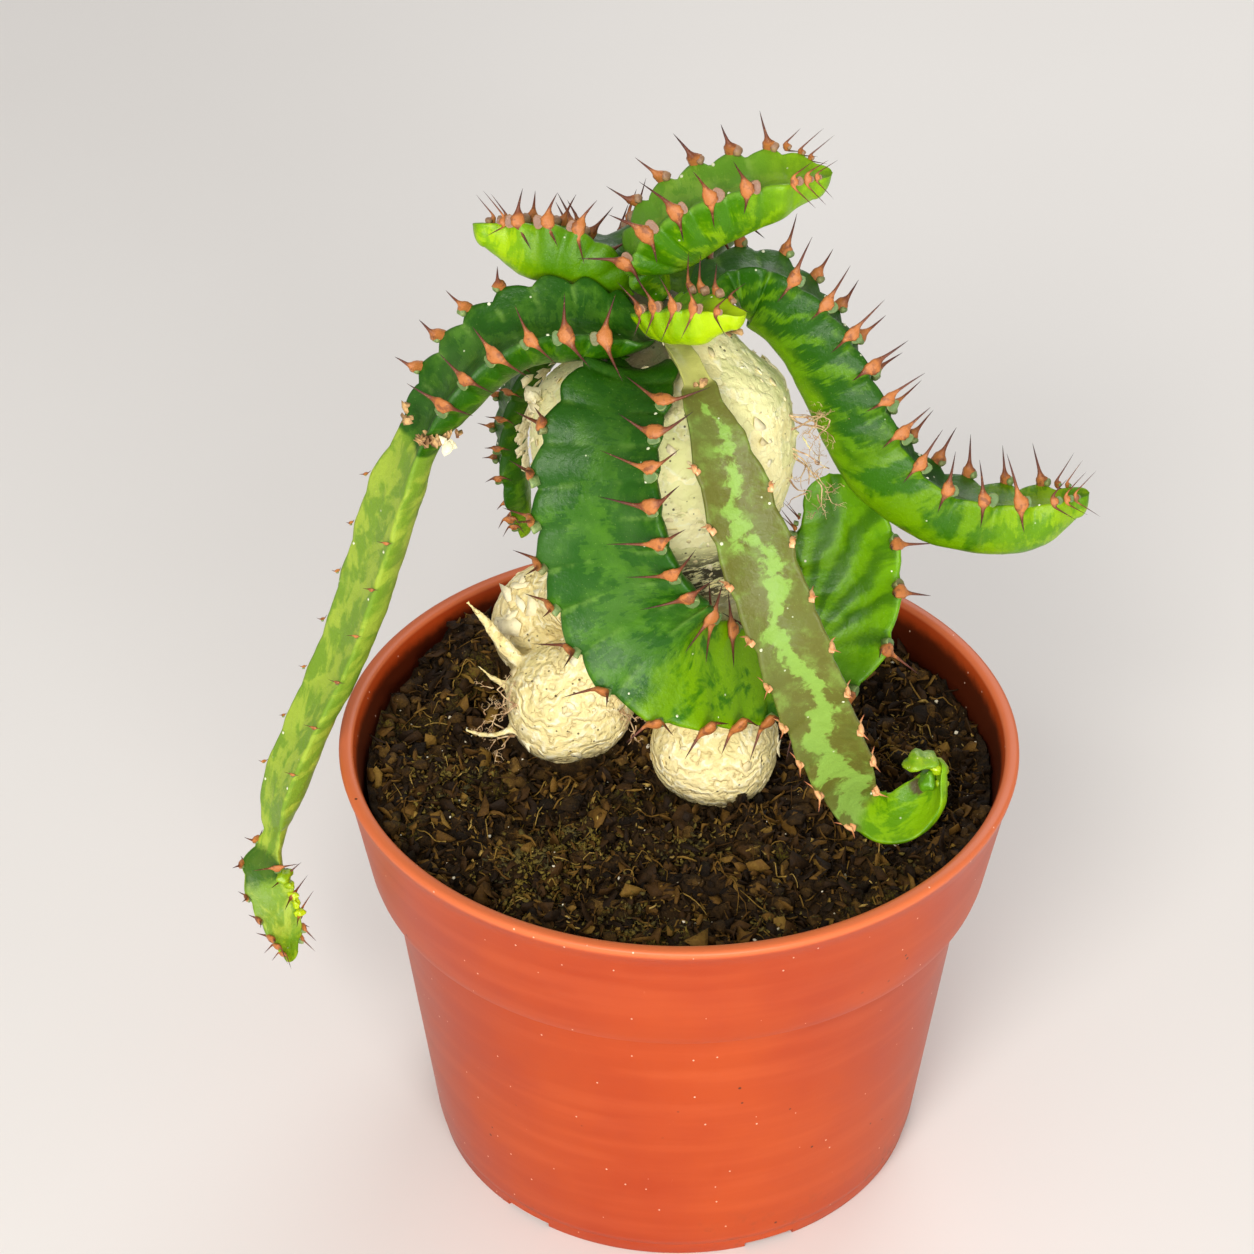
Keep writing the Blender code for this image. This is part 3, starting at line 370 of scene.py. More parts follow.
class Value:
    """A node's output, so that a sum of them reads as a plain one."""

    def __init__(self, look, socket):
        self.look = look
        self.socket = socket

    def __add__(self, other):
        return self.look.math("ADD", self, other)

    def __sub__(self, other):
        return self.look.math("SUBTRACT", self, other)

    def __rsub__(self, other):
        return self.look.math("SUBTRACT", other, self)

    def __mul__(self, other):
        return self.look.math("MULTIPLY", self, other)

    def __abs__(self):
        return self.look.math("ABSOLUTE", self)

    def about(self, size):
        """A noise moved to lie about zero, and spread over this size."""
        return self.look.math("MULTIPLY_ADD", self, size, -0.5 * size)

    def step(self, low, high):
        """0 below low, 1 above high and smooth between them."""
        return self.look.node("MapRange", "Result", {
            "Value": self, "From Min": low, "From Max": high}, interpolation_type="SMOOTHSTEP")

    def below(self, low, high):
        return 1.0 - self.step(low, high)


class Look:
    """One material's nodes by short calls. Its colour is built up in layers, with tint."""

    def __init__(self, name, roughness, specular=0.5):
        self.material = bpy.data.materials.new(name)
        self.material.use_nodes = True
        self.tree = self.material.node_tree
        self.shader = self.tree.nodes["Principled BSDF"]
        self.shader.inputs["Roughness"].default_value = roughness
        self.shader.inputs["Specular IOR Level"].default_value = specular
        self.spot = self.node("TexCoord", "Object", {})
        self.colour = None

    def put(self, socket, value):
        if isinstance(value, Value):
            self.tree.links.new(value.socket, socket)
        elif socket.type == "RGBA":
            socket.default_value = (*srgb(*value), 1.0)
        else:
            socket.default_value = value

    def node(self, kind, output, inputs, **settings):
        node = self.tree.nodes.new("ShaderNode" + kind)
        for name, value in settings.items():
            setattr(node, name, value)
        for name, value in inputs.items():
            self.put(node.inputs[name], value)
        return Value(self, node.outputs[output])

    def math(self, operation, *values):
        return self.node("Math", 0, dict(enumerate(values)), operation=operation)

    def attribute(self, name):
        return self.node("Attribute", "Fac", {}, attribute_name=name)

    def vector(self, x, y, z):
        return self.node("CombineXYZ", 0, {0: x, 1: y, 2: z})

    def stretched(self, x, y, z):
        return self.node("VectorMath", 0, {0: self.spot, 1: (x, y, z)}, operation="MULTIPLY")

    def noise(self, per_mm, detail=3.0, roughness=0.55, vector=None, distortion=0.0):
        """Noise with this many features to a millimetre, or to a unit of the vector given."""
        """Noise with this many features to a millimetre, or to a unit of the vector given."""
        return self.node("TexNoise", "Fac", {
            "Scale": per_mm if vector else per_mm / MM, "Detail": detail, "Roughness": roughness,
            "Distortion": distortion, "Vector": vector or self.spot})

    def cells(self, per_mm, output="Distance", feature="F1", vector=None):
        return self.node("TexVoronoi", output, {
            "Scale": per_mm if vector else per_mm / MM, "Vector": vector or self.spot},
            feature=feature)

    def mix(self, factor, first, second):
        return self.node("Mix", 2, {0: factor, 6: first, 7: second}, data_type="RGBA")

    def tint(self, factor, colour):
        self.colour = self.mix(factor, self.colour, colour)

    def ramp(self, value, stops):
        node = self.tree.nodes.new("ShaderNodeValToRGB")
        band = node.color_ramp
        while len(band.elements) < len(stops):
            band.elements.new(0.5)
        for element, (place, colour) in zip(band.elements, stops):
            element.position = place
            element.color = (*srgb(*colour), 1.0)
        self.put(node.inputs[0], value)
        return Value(self, node.outputs[0])

    def finish(self, roughness, height, strength, distance):
        """The layered colour with this roughness, and bumps of this height."""
        normal = self.node("Bump", 0, {
            "Strength": strength, "Distance": distance * MM, "Height": height})
        for name, value in (("Base Color", self.colour), ("Roughness", roughness),
                            ("Normal", normal)):
            self.put(self.shader.inputs[name], value)
        return self.material


# A branch's colours on the channelled face, the round flank, the keel, the fresh tip and the
# mottled later growths, then its pale band's breadth and contrast, and its flank's streaks.
Skin = namedtuple("Skin", "face face_light flank flank_light keel tip pale mottle band "
                          "contrast streak")
SKINS = {
    "dark": Skin((36, 86, 10), (84, 134, 30), (40, 92, 0), (96, 146, 4), (112, 158, 0),
                 (140, 178, 4), (164, 188, 62), (122, 158, 44), 0.14, 0.3, 0.5),
    "curl": Skin((34, 88, 8), (86, 140, 26), (40, 92, 0), (104, 158, 4), (104, 150, 2),
                 (54, 108, 8), (114, 160, 0), (54, 110, 0), 0.16, 0.3, 0.5),
    "arch": Skin((40, 88, 12), (72, 124, 28), (36, 88, 0), (100, 150, 0), (110, 156, 0),
                 (144, 184, 2), (106, 152, 0), (50, 104, 0), 0.14, 0.3, 0.7),
    "green": Skin((98, 150, 34), (142, 180, 60), (68, 126, 0), (138, 184, 6), (114, 160, 2),
                  (124, 170, 4), (160, 190, 80), (96, 146, 48), 0.16, 0.35, 0.8),
    "fresh": Skin((90, 138, 20), (132, 174, 40), (78, 130, 0), (128, 176, 0), (100, 146, 0),
                  (168, 206, 0), (160, 190, 80), (96, 146, 48), 0.2, 0.35, 0.2),
    "bud": Skin((96, 146, 16), (140, 182, 28), (138, 182, 0), (180, 210, 2), (172, 206, 0),
                (186, 216, 4), (160, 190, 80), (96, 146, 48), 0.2, 0.35, 0.3),
    "olive": Skin((104, 106, 42), (140, 178, 74), (106, 116, 40), (140, 168, 56), (124, 148, 48),
                  (130, 180, 8), (136, 184, 10), (98, 150, 6), -0.08, 0.95, 0.4),
}
FRESH_LENGTH = {"fresh": 17, "bud": 14, "olive": 5, "arch": 34, "green": 20}    # of the pale tip


def skin_look(kind):
    """A succulent's skin: a lobed face with a feathered middle, and a streaked underside."""
    skin = SKINS[kind]
    look = Look(f"skin_{kind}", 0.4, 0.22)
    tooth, rim, side, way, crease, growth, tone, fan, deep, neck, bruise = [
        look.attribute(name) for name in ("tooth", "rim", "side", "way", "crease", "growth",
                                          "tone", "fan", "deep", "neck", "bruise")]
    cloud = look.noise(0.09, 3.0, 0.55)
    patch = look.noise(0.26, 4.0, 0.6)
    grain = look.noise(1.1, 4.0, 0.6)
    fast, slow, ragged, widening, soft = (
        (0.5, 2.2, 1.0, 0.0042, 0.2) if kind == "olive" else (1.1, 1.3, 1.5, 0.0032, 0.08))
    feather = look.noise(1.0, 4.0, 0.65, look.vector(way * fast, rim * 1.6, side * slow), 0.5)

    swing = look.math("SINE", way * 0.27 + cloud * 9.0)
    breadth = way * widening + skin.band + feather.about(ragged) + patch.about(ragged)
    middle = abs(side - swing * 0.34).below(breadth, breadth + soft)
    look.colour = look.mix(patch.step(0.45, 0.72) * 0.5, skin.face, skin.face_light)
    look.tint(middle * skin.contrast, skin.face_light)
    line = crease.below(0.25, 0.6) * rim.step(0.1, 0.6) * patch.step(0.4, 0.62)
    look.tint(line * 0.28, (140, 180, 80))
    look.tint(cloud.step(0.45, 0.7) * 0.16, (116, 156, 84))

    down = rim + patch.about(0.4) + feather.about(0.2)
    flank = look.mix(down.step(1.66, 1.98), skin.flank, skin.keel)
    sweep = tooth * 0.95 + rim * 1.3 + cloud * 3.0 + feather * 1.3
    streak = look.math("PINGPONG", sweep, 0.5).step(0.18, 0.42)
    streak = streak * (patch + rim * 0.22).step(0.64, 0.9)
    flank = look.mix(streak * skin.streak, flank, skin.flank_light)
    look.tint((rim + feather.about(0.2)).step(0.99, 1.12), flank)

    winding = look.vector(way * 0.13, side, (rim + way * 0.11) * 0.9)
    mottling = look.noise(1.0, 4.0, 0.62, winding, 0.5) + patch * 0.35 - 0.17
    more = 0.06 if kind == "curl" else 0.0
    mottle = look.mix(mottling.step(0.43 + more, 0.57 + more), skin.pale, skin.mottle)
    mottle = look.mix((1.0 - crease) * 0.3, mottle, skin.mottle)
    look.tint((tone + patch.about(0.6) + feather.about(0.3)).step(0.25, 0.75), mottle)
    fresh = look.mix((patch + feather.about(0.8)).step(0.4, 0.6), skin.tip, skin.flank_light)
    look.tint(growth.step(0.3, 1.0) * 0.85, fresh)
    if kind == "curl":
        # Painted shadow: the curled branch's face darkens towards its start, under the long branch
        # above it
        look.tint((way + cloud * 24.0).below(20.0, 58.0) * 0.7, (28, 72, 2))
        look.tint((way + cloud * 12.0).step(98.0, 112.0) * 0.6, (112, 172, 0))
        # Painted shade: the last lobe's sunken folds are darker green
        folds = fan + feather.about(1.0) + cloud.about(1.6)
        look.tint(folds.step(0.2, 1.05) * 0.7, (34, 86, 4))
    # Painted shade: the long branch's narrow cup is darker green on its face
    look.tint((deep + feather.about(0.5)).step(0.3, 0.75) * 0.85, (36, 84, 14))
    look.tint(neck * 0.9, (204, 202, 116))
    look.tint((bruise + feather.about(0.8)).step(0.4, 0.75) * 0.85, (84, 54, 50))
    look.tint(look.cells(0.24).below(0.03, 0.055) * 0.75, (220, 228, 190))
    look.tint(look.cells(1.3).below(0.06, 0.14) * 0.2, (176, 206, 110))
    look.tint(0.16, (0, 0, 0))    # a little darker as a whole
    return look.finish(grain * 0.3 + 0.2, grain * 0.6 + patch * 0.5, 0.4, 0.6)


def horn_look(name, pad, base, middle, point):
    """Horny shield, drawn out into spines that darken to their tips."""
    look = Look(name, 0.42, 0.35)
    grain = look.noise(1.4, 4.0, 0.65)
    reach = look.attribute("reach") + grain.about(0.24) + look.attribute("mark").about(0.22)
    look.colour = look.ramp(reach, [(0.0, pad), (0.2, pad), (0.34, base), (0.62, middle),
                                    (1.0, point)])
    look.tint(grain.step(0.56, 0.74) * 0.4, (208, 150, 92))
    look.tint(look.noise(0.7).step(0.52, 0.66) * reach.below(0.2, 0.4) * 0.6, middle)
    return look.finish(grain * 0.3 + 0.3, grain, 0.5, 0.3)


BUD_COLOURS = {
    # centre, edge
    "green": ((92, 118, 64), (142, 160, 92)),
    "brown": ((134, 98, 76), (178, 142, 104)),
    "stub": ((232, 150, 96), (246, 200, 150)),
}


def bud_look(kind):
    """A leaf's scale or scar, with a paler rim."""
    look = Look(f"leaf_scar_{kind}", 0.5)
    grain = look.noise(1.5, 3.0, 0.6)
    shade = look.attribute("shade") + grain.about(0.5)
    look.colour = look.mix(shade.step(0.55, 0.95), *BUD_COLOURS[kind])
    look.tint(look.attribute("mark").step(0.8, 1.0) * 0.5, (120, 92, 64))
    return look.finish(grain * 0.3 + 0.35, grain, 0.4, 0.25)


def root_look():
    """Cream skin: papery plates, winding wrinkles with a painted highlight on their ridges and
    painted shade in their tan grooves, dark specks, green tinges and soil stains.
    """
    look = Look("root_skin", 0.72, 0.2)
    tone = look.noise(0.07, 4.0, 0.6)
    grain = look.noise(0.55, 5.0, 0.65)
    warp = look.noise(0.11, 3.0, 0.55)
    fine = look.noise(0.32, 3.0, 0.6)
    x, y, z = [look.node("SeparateXYZ", i, {0: look.spot}) for i in range(3)]
    bulb = z.step(0.1, 0.112)
    low_down = 1.0 - bulb
    wrinkle = look.math("PINGPONG", z * 330.0 + warp * 7.0 + fine * 2.2, 0.5)
    # Painted shade with a tan tint: darker lines in the wrinkles' grooves
    groove_tint_and_shade = wrinkle.below(0.0, 0.14) * grain.step(0.4, 0.6) * (1.0 - bulb * 0.7)
    bent = look.vector(x * 150.0 + warp * 3.0, y * 150.0 + fine * 1.6, z * 200.0 - warp * 3.0)
    plate = look.node("SeparateColor", 0, {0: look.cells(1.0, "Color", vector=bent)})
    seam = look.cells(1.0, feature="DISTANCE_TO_EDGE", vector=bent).below(0.0, 0.07)
    look.colour = look.mix(grain.step(0.3, 0.7), (244, 230, 162), (254, 246, 190))
    look.tint(plate * 0.7, (253, 248, 204))
    look.tint(plate.step(0.62, 0.66) * 0.5, (216, 215, 138))
    look.tint(tone.step(0.52, 0.68) * 0.6, (222, 222, 148))
    look.tint(seam * grain.step(0.38, 0.56) * 0.55,
              look.mix(fine.step(0.44, 0.52), (170, 158, 88), (255, 252, 224)))
    look.tint(low_down * 0.7, (228, 205, 142))
    # Painted highlight: lighter wrinkle ridges on the tubers
    ridge = wrinkle.step(0.28, 0.46) * grain.step(0.38, 0.6) * low_down
    look.tint(ridge * 0.6, (254, 250, 222))
    look.tint(groove_tint_and_shade * 0.6, (178, 146, 88))
    look.tint(look.attribute("fold").step(0.45, 1.0) * 0.35, (188, 160, 96))
    dots = (look.cells(0.62) + fine.about(0.16)).below(0.1, 0.16)
    look.tint(dots * (tone + grain * 0.5).step(0.7, 0.77) * 0.85, (58, 44, 26))
    look.tint(look.attribute("low") * grain.step(0.4, 0.58) * 0.9, (70, 54, 34))
    black = look.noise(1.0, 5.0, 0.7, look.stretched(300, 300, 900)).step(0.42, 0.5)
    look.tint(look.attribute("stain") * black * 0.95, (34, 26, 16))
    top = (look.attribute("top") + grain.about(0.6)).step(0.3, 0.7)
    look.tint(top * 0.92, look.mix(fine.step(0.4, 0.6), (26, 36, 8), (50, 36, 16)))
    height = wrinkle * (1.0 - bulb * 0.75) + grain * 0.5 + plate * 0.4 - groove_tint_and_shade * 0.3
    return look.finish(grain * 0.25 + 0.6, height, 0.65, 0.8)


def peel_look():
    """Papery flakes of dead skin."""
    look = Look("peel", 0.7)
    grain = look.noise(0.9, 4.0, 0.65)
    look.colour = look.mix(look.attribute("mark") * 0.6 + grain * 0.6 - 0.1, (222, 200, 140),
                           (253, 246, 212))
    look.tint(grain.step(0.6, 0.72) * 0.5, (150, 118, 74))
    return look.finish(0.7, grain, 0.6, 0.4)


def twig_look():
    """Dry rootlets and hairs."""
    look = Look("rootlet", 0.75)
    grain = look.noise(0.8, 4.0, 0.65)
    look.colour = look.mix(grain.step(0.35, 0.65), (160, 118, 84), (226, 198, 152))
    look.tint(look.noise(0.3).step(0.55, 0.7) * 0.6, (112, 78, 48))
    return look.finish(0.75, grain, 0.7, 0.5)


def soil_look():
    """Damp peat: near black in the bumps' hollows as painted shade, warm brown on their lumps as
    painted light.
    """
    look = Look("peat", 0.85, 0.2)
    grain = look.noise(0.5, 6.0, 0.7)
    fine = look.noise(2.2, 4.0, 0.7)
    patch = look.noise(0.06, 3.0, 0.6)
    # Painted shade and light: the colour follows the bumps' grain, near black low and warm brown
    # high
    value = grain * 0.9 + fine * 0.35 + look.attribute("mark") * 0.45 - 0.4 + patch.about(0.3)
    look.colour = look.ramp(value, [(0.25, (24, 14, 4)), (0.5, (62, 42, 14)), (0.68, (100, 72, 28)),
                                    (0.85, (134, 102, 48)), (1.0, (170, 142, 84))])
    look.tint(patch.step(0.54, 0.66) * fine.step(0.46, 0.6) * 0.6, (104, 98, 20))
    grit = look.cells(0.9).below(0.06, 0.1) * grain.step(0.5, 0.56)
    look.tint(grit * 0.7, (200, 180, 140))
    return look.finish(fine * 0.5 + 0.45, grain + fine * 0.5, 0.9, 1.2)


def litter_look():
    """Leaf bits, bark and fibres: dark and light browns that vary from bit to bit."""
    look = Look("litter", 0.75, 0.2)
    grain = look.noise(1.3, 4.0, 0.65)
    look.colour = look.ramp(look.attribute("mark") + grain.about(0.4), [
        (0.0, (28, 15, 2)), (0.3, (66, 42, 10)), (0.55, (104, 73, 24)), (0.8, (138, 108, 44)),
        (1.0, (204, 172, 96))])
    return look.finish(grain * 0.4 + 0.5, grain, 0.7, 0.5)


def knob_look():
    """Fresh swellings, green to yellow-green, with pale flecks."""
    look = Look("knob", 0.4)
    grain = look.noise(0.7, 4.0, 0.6)
    value = look.attribute("mark") + grain.about(0.6)
    look.colour = look.mix(value.step(0.1, 0.9), (86, 140, 16), (190, 212, 16))
    look.tint(look.cells(0.8).below(0.08, 0.16) * 0.5, (222, 228, 160))
    return look.finish(grain * 0.3 + 0.2, grain, 0.5, 0.5)


def plain_grain_look(name, dark, light, roughness, per_mm=1.2):
    look = Look(name, roughness)
    grain = look.noise(per_mm, 4.0, 0.65)
    look.colour = look.mix(grain.step(0.3, 0.7), dark, light)
    return look.finish(roughness, grain, 0.5, 0.4)


def pot_look():
    """Moulded terracotta plastic: satin, with faint flow marks, specks, soil dust, painted shade
    inside and a painted highlight on the lip.
    """
    look = Look("terracotta_plastic", 0.4, 0.3)
    cloud = look.noise(0.03, 4.0, 0.55)
    grain = look.noise(1.6, 4.0, 0.6)
    fine = look.noise(0.35, 5.0, 0.7)
    flow = look.noise(1.0, 3.0, 0.5, look.stretched(24, 24, 260))
    scuff = look.noise(1.0, 5.0, 0.7, look.stretched(900, 900, 220), 1.2)
    look.colour = look.mix(cloud.step(0.3, 0.7), (164, 54, 10), (176, 66, 15))
    look.tint(flow.step(0.4, 0.7) * 0.12, (220, 106, 58))
    look.tint(scuff.step(0.7, 0.78) * 0.25, (244, 168, 130))
    # Painted highlight: the lip's top is lighter
    look.tint(look.attribute("lip") * 0.55, (232, 128, 78))
    # Painted shade with some soil dirt: the inside darkens downwards from the rim
    inside_shade_and_dirt = look.attribute("inside") + fine.about(0.5)
    look.tint(inside_shade_and_dirt.step(0.1, 0.8) * 0.85, (38, 15, 6))
    smudge = look.attribute("foot") * (fine + cloud.about(0.8)).step(0.56, 0.72)
    look.tint(smudge * 0.5, (120, 58, 30))
    look.tint(look.cells(0.21).below(0.045, 0.075) * cloud.step(0.48, 0.56), (84, 36, 20))
    chalk = look.cells(1.0, vector=look.stretched(310, 300, 280)).below(0.035, 0.06)
    look.tint(chalk * 0.7, (252, 210, 186))
    return look.finish(cloud.step(0.2, 0.8) * 0.14 + 0.34, (grain + flow) * 0.4, 0.1, 0.3)


# Meshes

def make_piece(name, points, faces, look, slot, values=None, smooth=True, node=None):
    """A piece of the object from points in millimetres and arrays of faces of one size each."""
    corners = np.concatenate([group.ravel() for group in faces]).astype(np.int32)
    sizes = np.concatenate([np.full(len(group), group.shape[1]) for group in faces])
    mesh = bpy.data.meshes.new(name)
    mesh.vertices.add(len(points))
    mesh.vertices.foreach_set("co", (points * MM).astype(np.float32).ravel())
    mesh.loops.add(len(corners))
    mesh.loops.foreach_set("vertex_index", corners)
    mesh.polygons.add(len(sizes))
    mesh.polygons.foreach_set("loop_start", (np.cumsum(sizes) - sizes).astype(np.int32))
    mesh.update(calc_edges=True)
    mesh.validate()
    add_values(mesh, values or {})
    bm = bmesh.new()
    bm.from_mesh(mesh)
    bmesh.ops.recalc_face_normals(bm, faces=bm.faces)
    bm.to_mesh(mesh)
    bm.free()
    if smooth:
        mesh.shade_smooth()
    mesh.materials.append(look)
    return dressed(linked(name, mesh), slot, node)


def add_values(mesh, values):
    for key, data in values.items():
        layer = mesh.attributes.new(key, "FLOAT", "POINT")
        layer.data.foreach_set("value", np.asarray(data, dtype=np.float32).ravel())


def linked(name, data):
    obj = bpy.data.objects.new(name, data)
    bpy.context.scene.collection.objects.link(obj)
    return obj


def dressed(obj, slot, node=None):
    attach(obj, "root")
    if node:
        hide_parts(node)
    return obj


def grid_faces(rows, columns):
    """Quads between closed rings of points."""
    i, j = np.meshgrid(np.arange(rows - 1), np.arange(columns), indexing="ij")
    here, there = i * columns, (i + 1) * columns
    k = (j + 1) % columns
    return np.stack([here + j, here + k, there + k, there + j], axis=-1).reshape(-1, 4)


def fan(centre, ring):
    """Triangles from one point to a ring of point numbers."""
    return np.stack([np.full(len(ring), centre), ring, np.roll(ring, -1)], axis=1)


def closed_faces(rows, columns):
    """Faces over rings of points, closed with the two points that follow them."""
    count, ring = rows * columns, np.arange(columns)
    return [grid_faces(rows, columns), fan(count, ring[::-1]),
            fan(count + 1, ring + count - columns)]


def unit(vectors):
    return vectors / np.linalg.norm(vectors, axis=-1, keepdims=True)


def square_to(vector, *axes):
    """The part of a vector that is square to these unit axes, as a unit vector."""
    return unit(vector - sum(axis * float(np.dot(vector, axis)) for axis in axes))


def gauss3(draw, spread):
    return np.array([draw.gauss(0, spread) for _ in range(3)])


def smoothstep(values, low, high):
    t = np.clip((values - low) / (high - low), 0.0, 1.0)
    return t * t * (3 - 2 * t)


def smooth_samples(knots, distances):
    """Rows of values read at these distances from one smooth curve through the knots."""
    knots = np.array(knots, dtype=float)
    steps = np.linalg.norm(np.diff(knots[:, :3], axis=0), axis=1)
    at = np.concatenate([[0.0], np.cumsum(steps)])
    slopes = np.gradient(knots, at, axis=0)
    span = np.clip(np.searchsorted(at, distances) - 1, 0, len(at) - 2)
    size = (at[span + 1] - at[span])[:, None]
    t = (distances[:, None] - at[span][:, None]) / size
    start = (2 * t**3 - 3 * t**2 + 1) * knots[span] + (t**3 - 2 * t**2 + t) * size * slopes[span]
    end = (3 * t**2 - 2 * t**3) * knots[span + 1] + (t**3 - t**2) * size * slopes[span + 1]
    return start + end


def route_length(knots):
    places = np.array([knot[:3] for knot in knots], dtype=float)
    return float(np.linalg.norm(np.diff(places, axis=0), axis=1).sum())


class Course:
    """A branch's places, directions and sizes at some distances along it."""

    def __init__(self, branch, distances):
        self.distance = np.atleast_1d(np.asarray(distances, dtype=float))
        rows = smooth_samples(branch.stations, self.distance)
        end = np.minimum(self.distance + 0.05, route_length(branch.stations))
        ahead = smooth_samples(branch.stations, end)
        behind = smooth_samples(branch.stations, np.maximum(self.distance - 0.05, 0.0))
        self.place, self.half, self.keel, face = rows[:, :3], rows[:, 3], rows[:, 4], rows[:, 5:]
        self.along = unit(ahead[:, :3] - behind[:, :3])
        self.face = unit(face - self.along * (face * self.along).sum(1, keepdims=True))
        self.side = np.cross(self.along, self.face)


def wave_of(phase):
    """1 on a tooth, 0 in the sharp notch just past it, and a round rise to the next tooth."""
    fall = 1.0 - (phase / NOTCH_PHASE) ** 1.4
    rise = np.sin(np.clip((phase - NOTCH_PHASE) / (1 - NOTCH_PHASE), 0, 1) * math.pi / 2) ** 0.8
    return np.where(phase < NOTCH_PHASE, fall, rise)


def window(distance, first, last, outside, inside):
    """1 between two ways along a branch, fading over these lengths outside and inside of them."""
    return smoothstep(distance, first - outside, first + inside) * (
        1 - smoothstep(distance, last - inside, last + outside))


def skin_piece(branch, looks):
    """A branch's fine skin: scalloped margins, pillowy lobes between creases, a closed tip."""
    length = route_length(branch.stations)
    course = Course(branch, np.linspace(0.0, length, round(length / RING_STEP)))
    rings = len(course.distance)
    turns = np.arange(1, TIP_STEPS + 1) / (TIP_STEPS + 0.6) * math.pi / 2
    grow = np.concatenate([np.ones(rings), np.cos(turns) ** 0.9])[:, None]
    reach_on = np.concatenate([np.zeros(rings), TIP_REACH * course.half[-1] * np.sin(turns)])

    def extended(values):
        return np.concatenate([values, np.repeat(values[-1:], TIP_STEPS, axis=0)])

    half, keel, distance = [extended(v)[:, None] for v in (course.half, course.keel,
                                                           course.distance)]
    across = np.linspace(-1.0, 1.0, FACE_STEPS + 1)[:-1]
    angle = np.linspace(0.0, math.pi, UNDER_STEPS + 1)[:-1]
    on_face = (np.arange(FACE_STEPS + UNDER_STEPS) < FACE_STEPS)[None, :]
    side = np.concatenate([across, np.cos(angle)])[None, :]
    depth = np.concatenate([np.zeros(FACE_STEPS), np.sin(angle)])[None, :]
    rim = np.concatenate([np.abs(across), 1.0 + np.sin(angle)])[None, :]
    flat = np.abs(side)

    tone = np.zeros_like(distance)
    for first, last, fade in PALE_GROWTH.get(branch.name, []):
        tone = np.maximum(tone, window(distance, first, last, fade, fade))
    long_branch, curl = branch.name == "branch_left_long", branch.look == "curl"
    olive = branch.look == "olive"
    plain = 1 - 0.75 * tone * long_branch - 0.7 * tone * (distance < SMOOTH_END) * curl
    inward = branch.runs[0].wave * (1 - TOOTHLESS) * np.ones_like(half * side)
    lift = MARGIN_LIFT * half * TOOTHLESS * np.ones_like(side)
    swell, mound, crease = 0 * inward, 0 * inward, np.ones_like(inward)
    for run in branch.runs:
        weight = window(distance, run.first - run.pitch, run.last + 0.6 * run.pitch,
                        0.8 * run.pitch, 0)
        tooth = (distance - run.first) / run.pitch + TEETH_SHIFT * (0.5 - 0.5 * side)
        phase = (tooth + 1e-6) % 1.0
        crest = wave_of(phase)
        uneven = 1.0 + 0.18 * np.sin(np.floor(tooth) * 12.9 + np.sign(side) * 3.0)
        inward = inward * (1 - weight) + weight * run.wave * uneven * (1 - crest)
        lift = lift * (1 - weight) + weight * MARGIN_LIFT * half * crest
        pillow = np.sin((tooth - NOTCH_PHASE) % 1.0 * math.pi) ** 0.55
        swell = swell + weight * run.lobe * (pillow - 0.55) * (1 - 0.6 * tone * curl)
        crease = crease * (1 - weight) + weight * pillow
        near = np.minimum(phase, 1 - phase) * run.pitch
        mound = mound + 0.45 * run.size * weight * np.exp(-(near / 1.4) ** 2)
    tooth = (distance - branch.runs[0].first) / branch.runs[0].pitch
    tooth = tooth + TEETH_SHIFT * (0.5 - 0.5 * side)
    neck = (1 - smoothstep(distance, NECK_LENGTH - 0.6, NECK_LENGTH + 0.6)) * olive
    half = half * (1 - 0.2 * neck)
    reach = half * (1 - inward)
    lift = lift * plain
    channel = np.minimum(branch.channel, 0.35 * half) * plain
    shoulder = 2.2 * flat ** (0.6 + np.maximum(half - 7.0, 0.0) * 0.25) * (1 - flat ** 3)
    b_face = -channel * (1 - flat ** 1.7) + lift * flat ** 2.4 + swell * shoulder * 0.7
    belly = half + (reach - half) * (1 - depth) ** 2
    ribs = 0.5 * swell * np.sin(np.clip(depth, 0, 1) * math.pi) * flat
    b_under = lift * (1 - depth) ** 3 - (keel + ribs) * depth ** 0.92
    mound = mound * np.exp(-((rim - 1) / 0.16) ** 2)
    a = side * np.where(on_face, reach, belly + ribs) + np.sign(side) * mound
    b = np.where(on_face, b_face, b_under)
    for _ in range(2):
        a, b = [0.5 * c + 0.25 * (np.roll(c, 1, axis=1) + np.roll(c, -1, axis=1)) for c in (a, b)]

    place = extended(course.place) + extended(course.along) * reach_on[:, None]
    points = (place[:, None, :] + (a * grow)[..., None] * extended(course.side)[:, None, :]
              + (b * grow)[..., None] * extended(course.face)[:, None, :])
    rows, count = points.shape[:2]
    points = points.reshape(-1, 3)
    outward = unit(points - np.repeat(place, count, axis=0))
    waver = np.array([noise.noise(Vector(p) * 0.16) + 0.4 * noise.noise(Vector(p) * 0.5)
                      for p in points])
    points = points + outward * waver[:, None] * SKIN_WAVER
    folds = np.zeros(len(points))
    if curl:
        angle = np.arctan2(points[:, 2] - FAN_FROM[1], points[:, 0] - FAN_FROM[0])
        folds = (0.5 + 0.5 * np.sin(angle * 26.0 + waver * 1.8)) * smoothstep(
            np.repeat(distance.ravel(), count), *FOLDS_FROM) * np.tile(on_face.ravel(), rows)
        points = points - outward * folds[:, None] * 0.35
    crown = place[0] - course.along[0] * 0.3
    tip = place[-1] + course.along[-1] * 0.05 * course.half[-1]

    def per_point(values, first=0.0, last=0.0):
        return np.concatenate([np.broadcast_to(values, (rows, count)).ravel(), [first, last]])

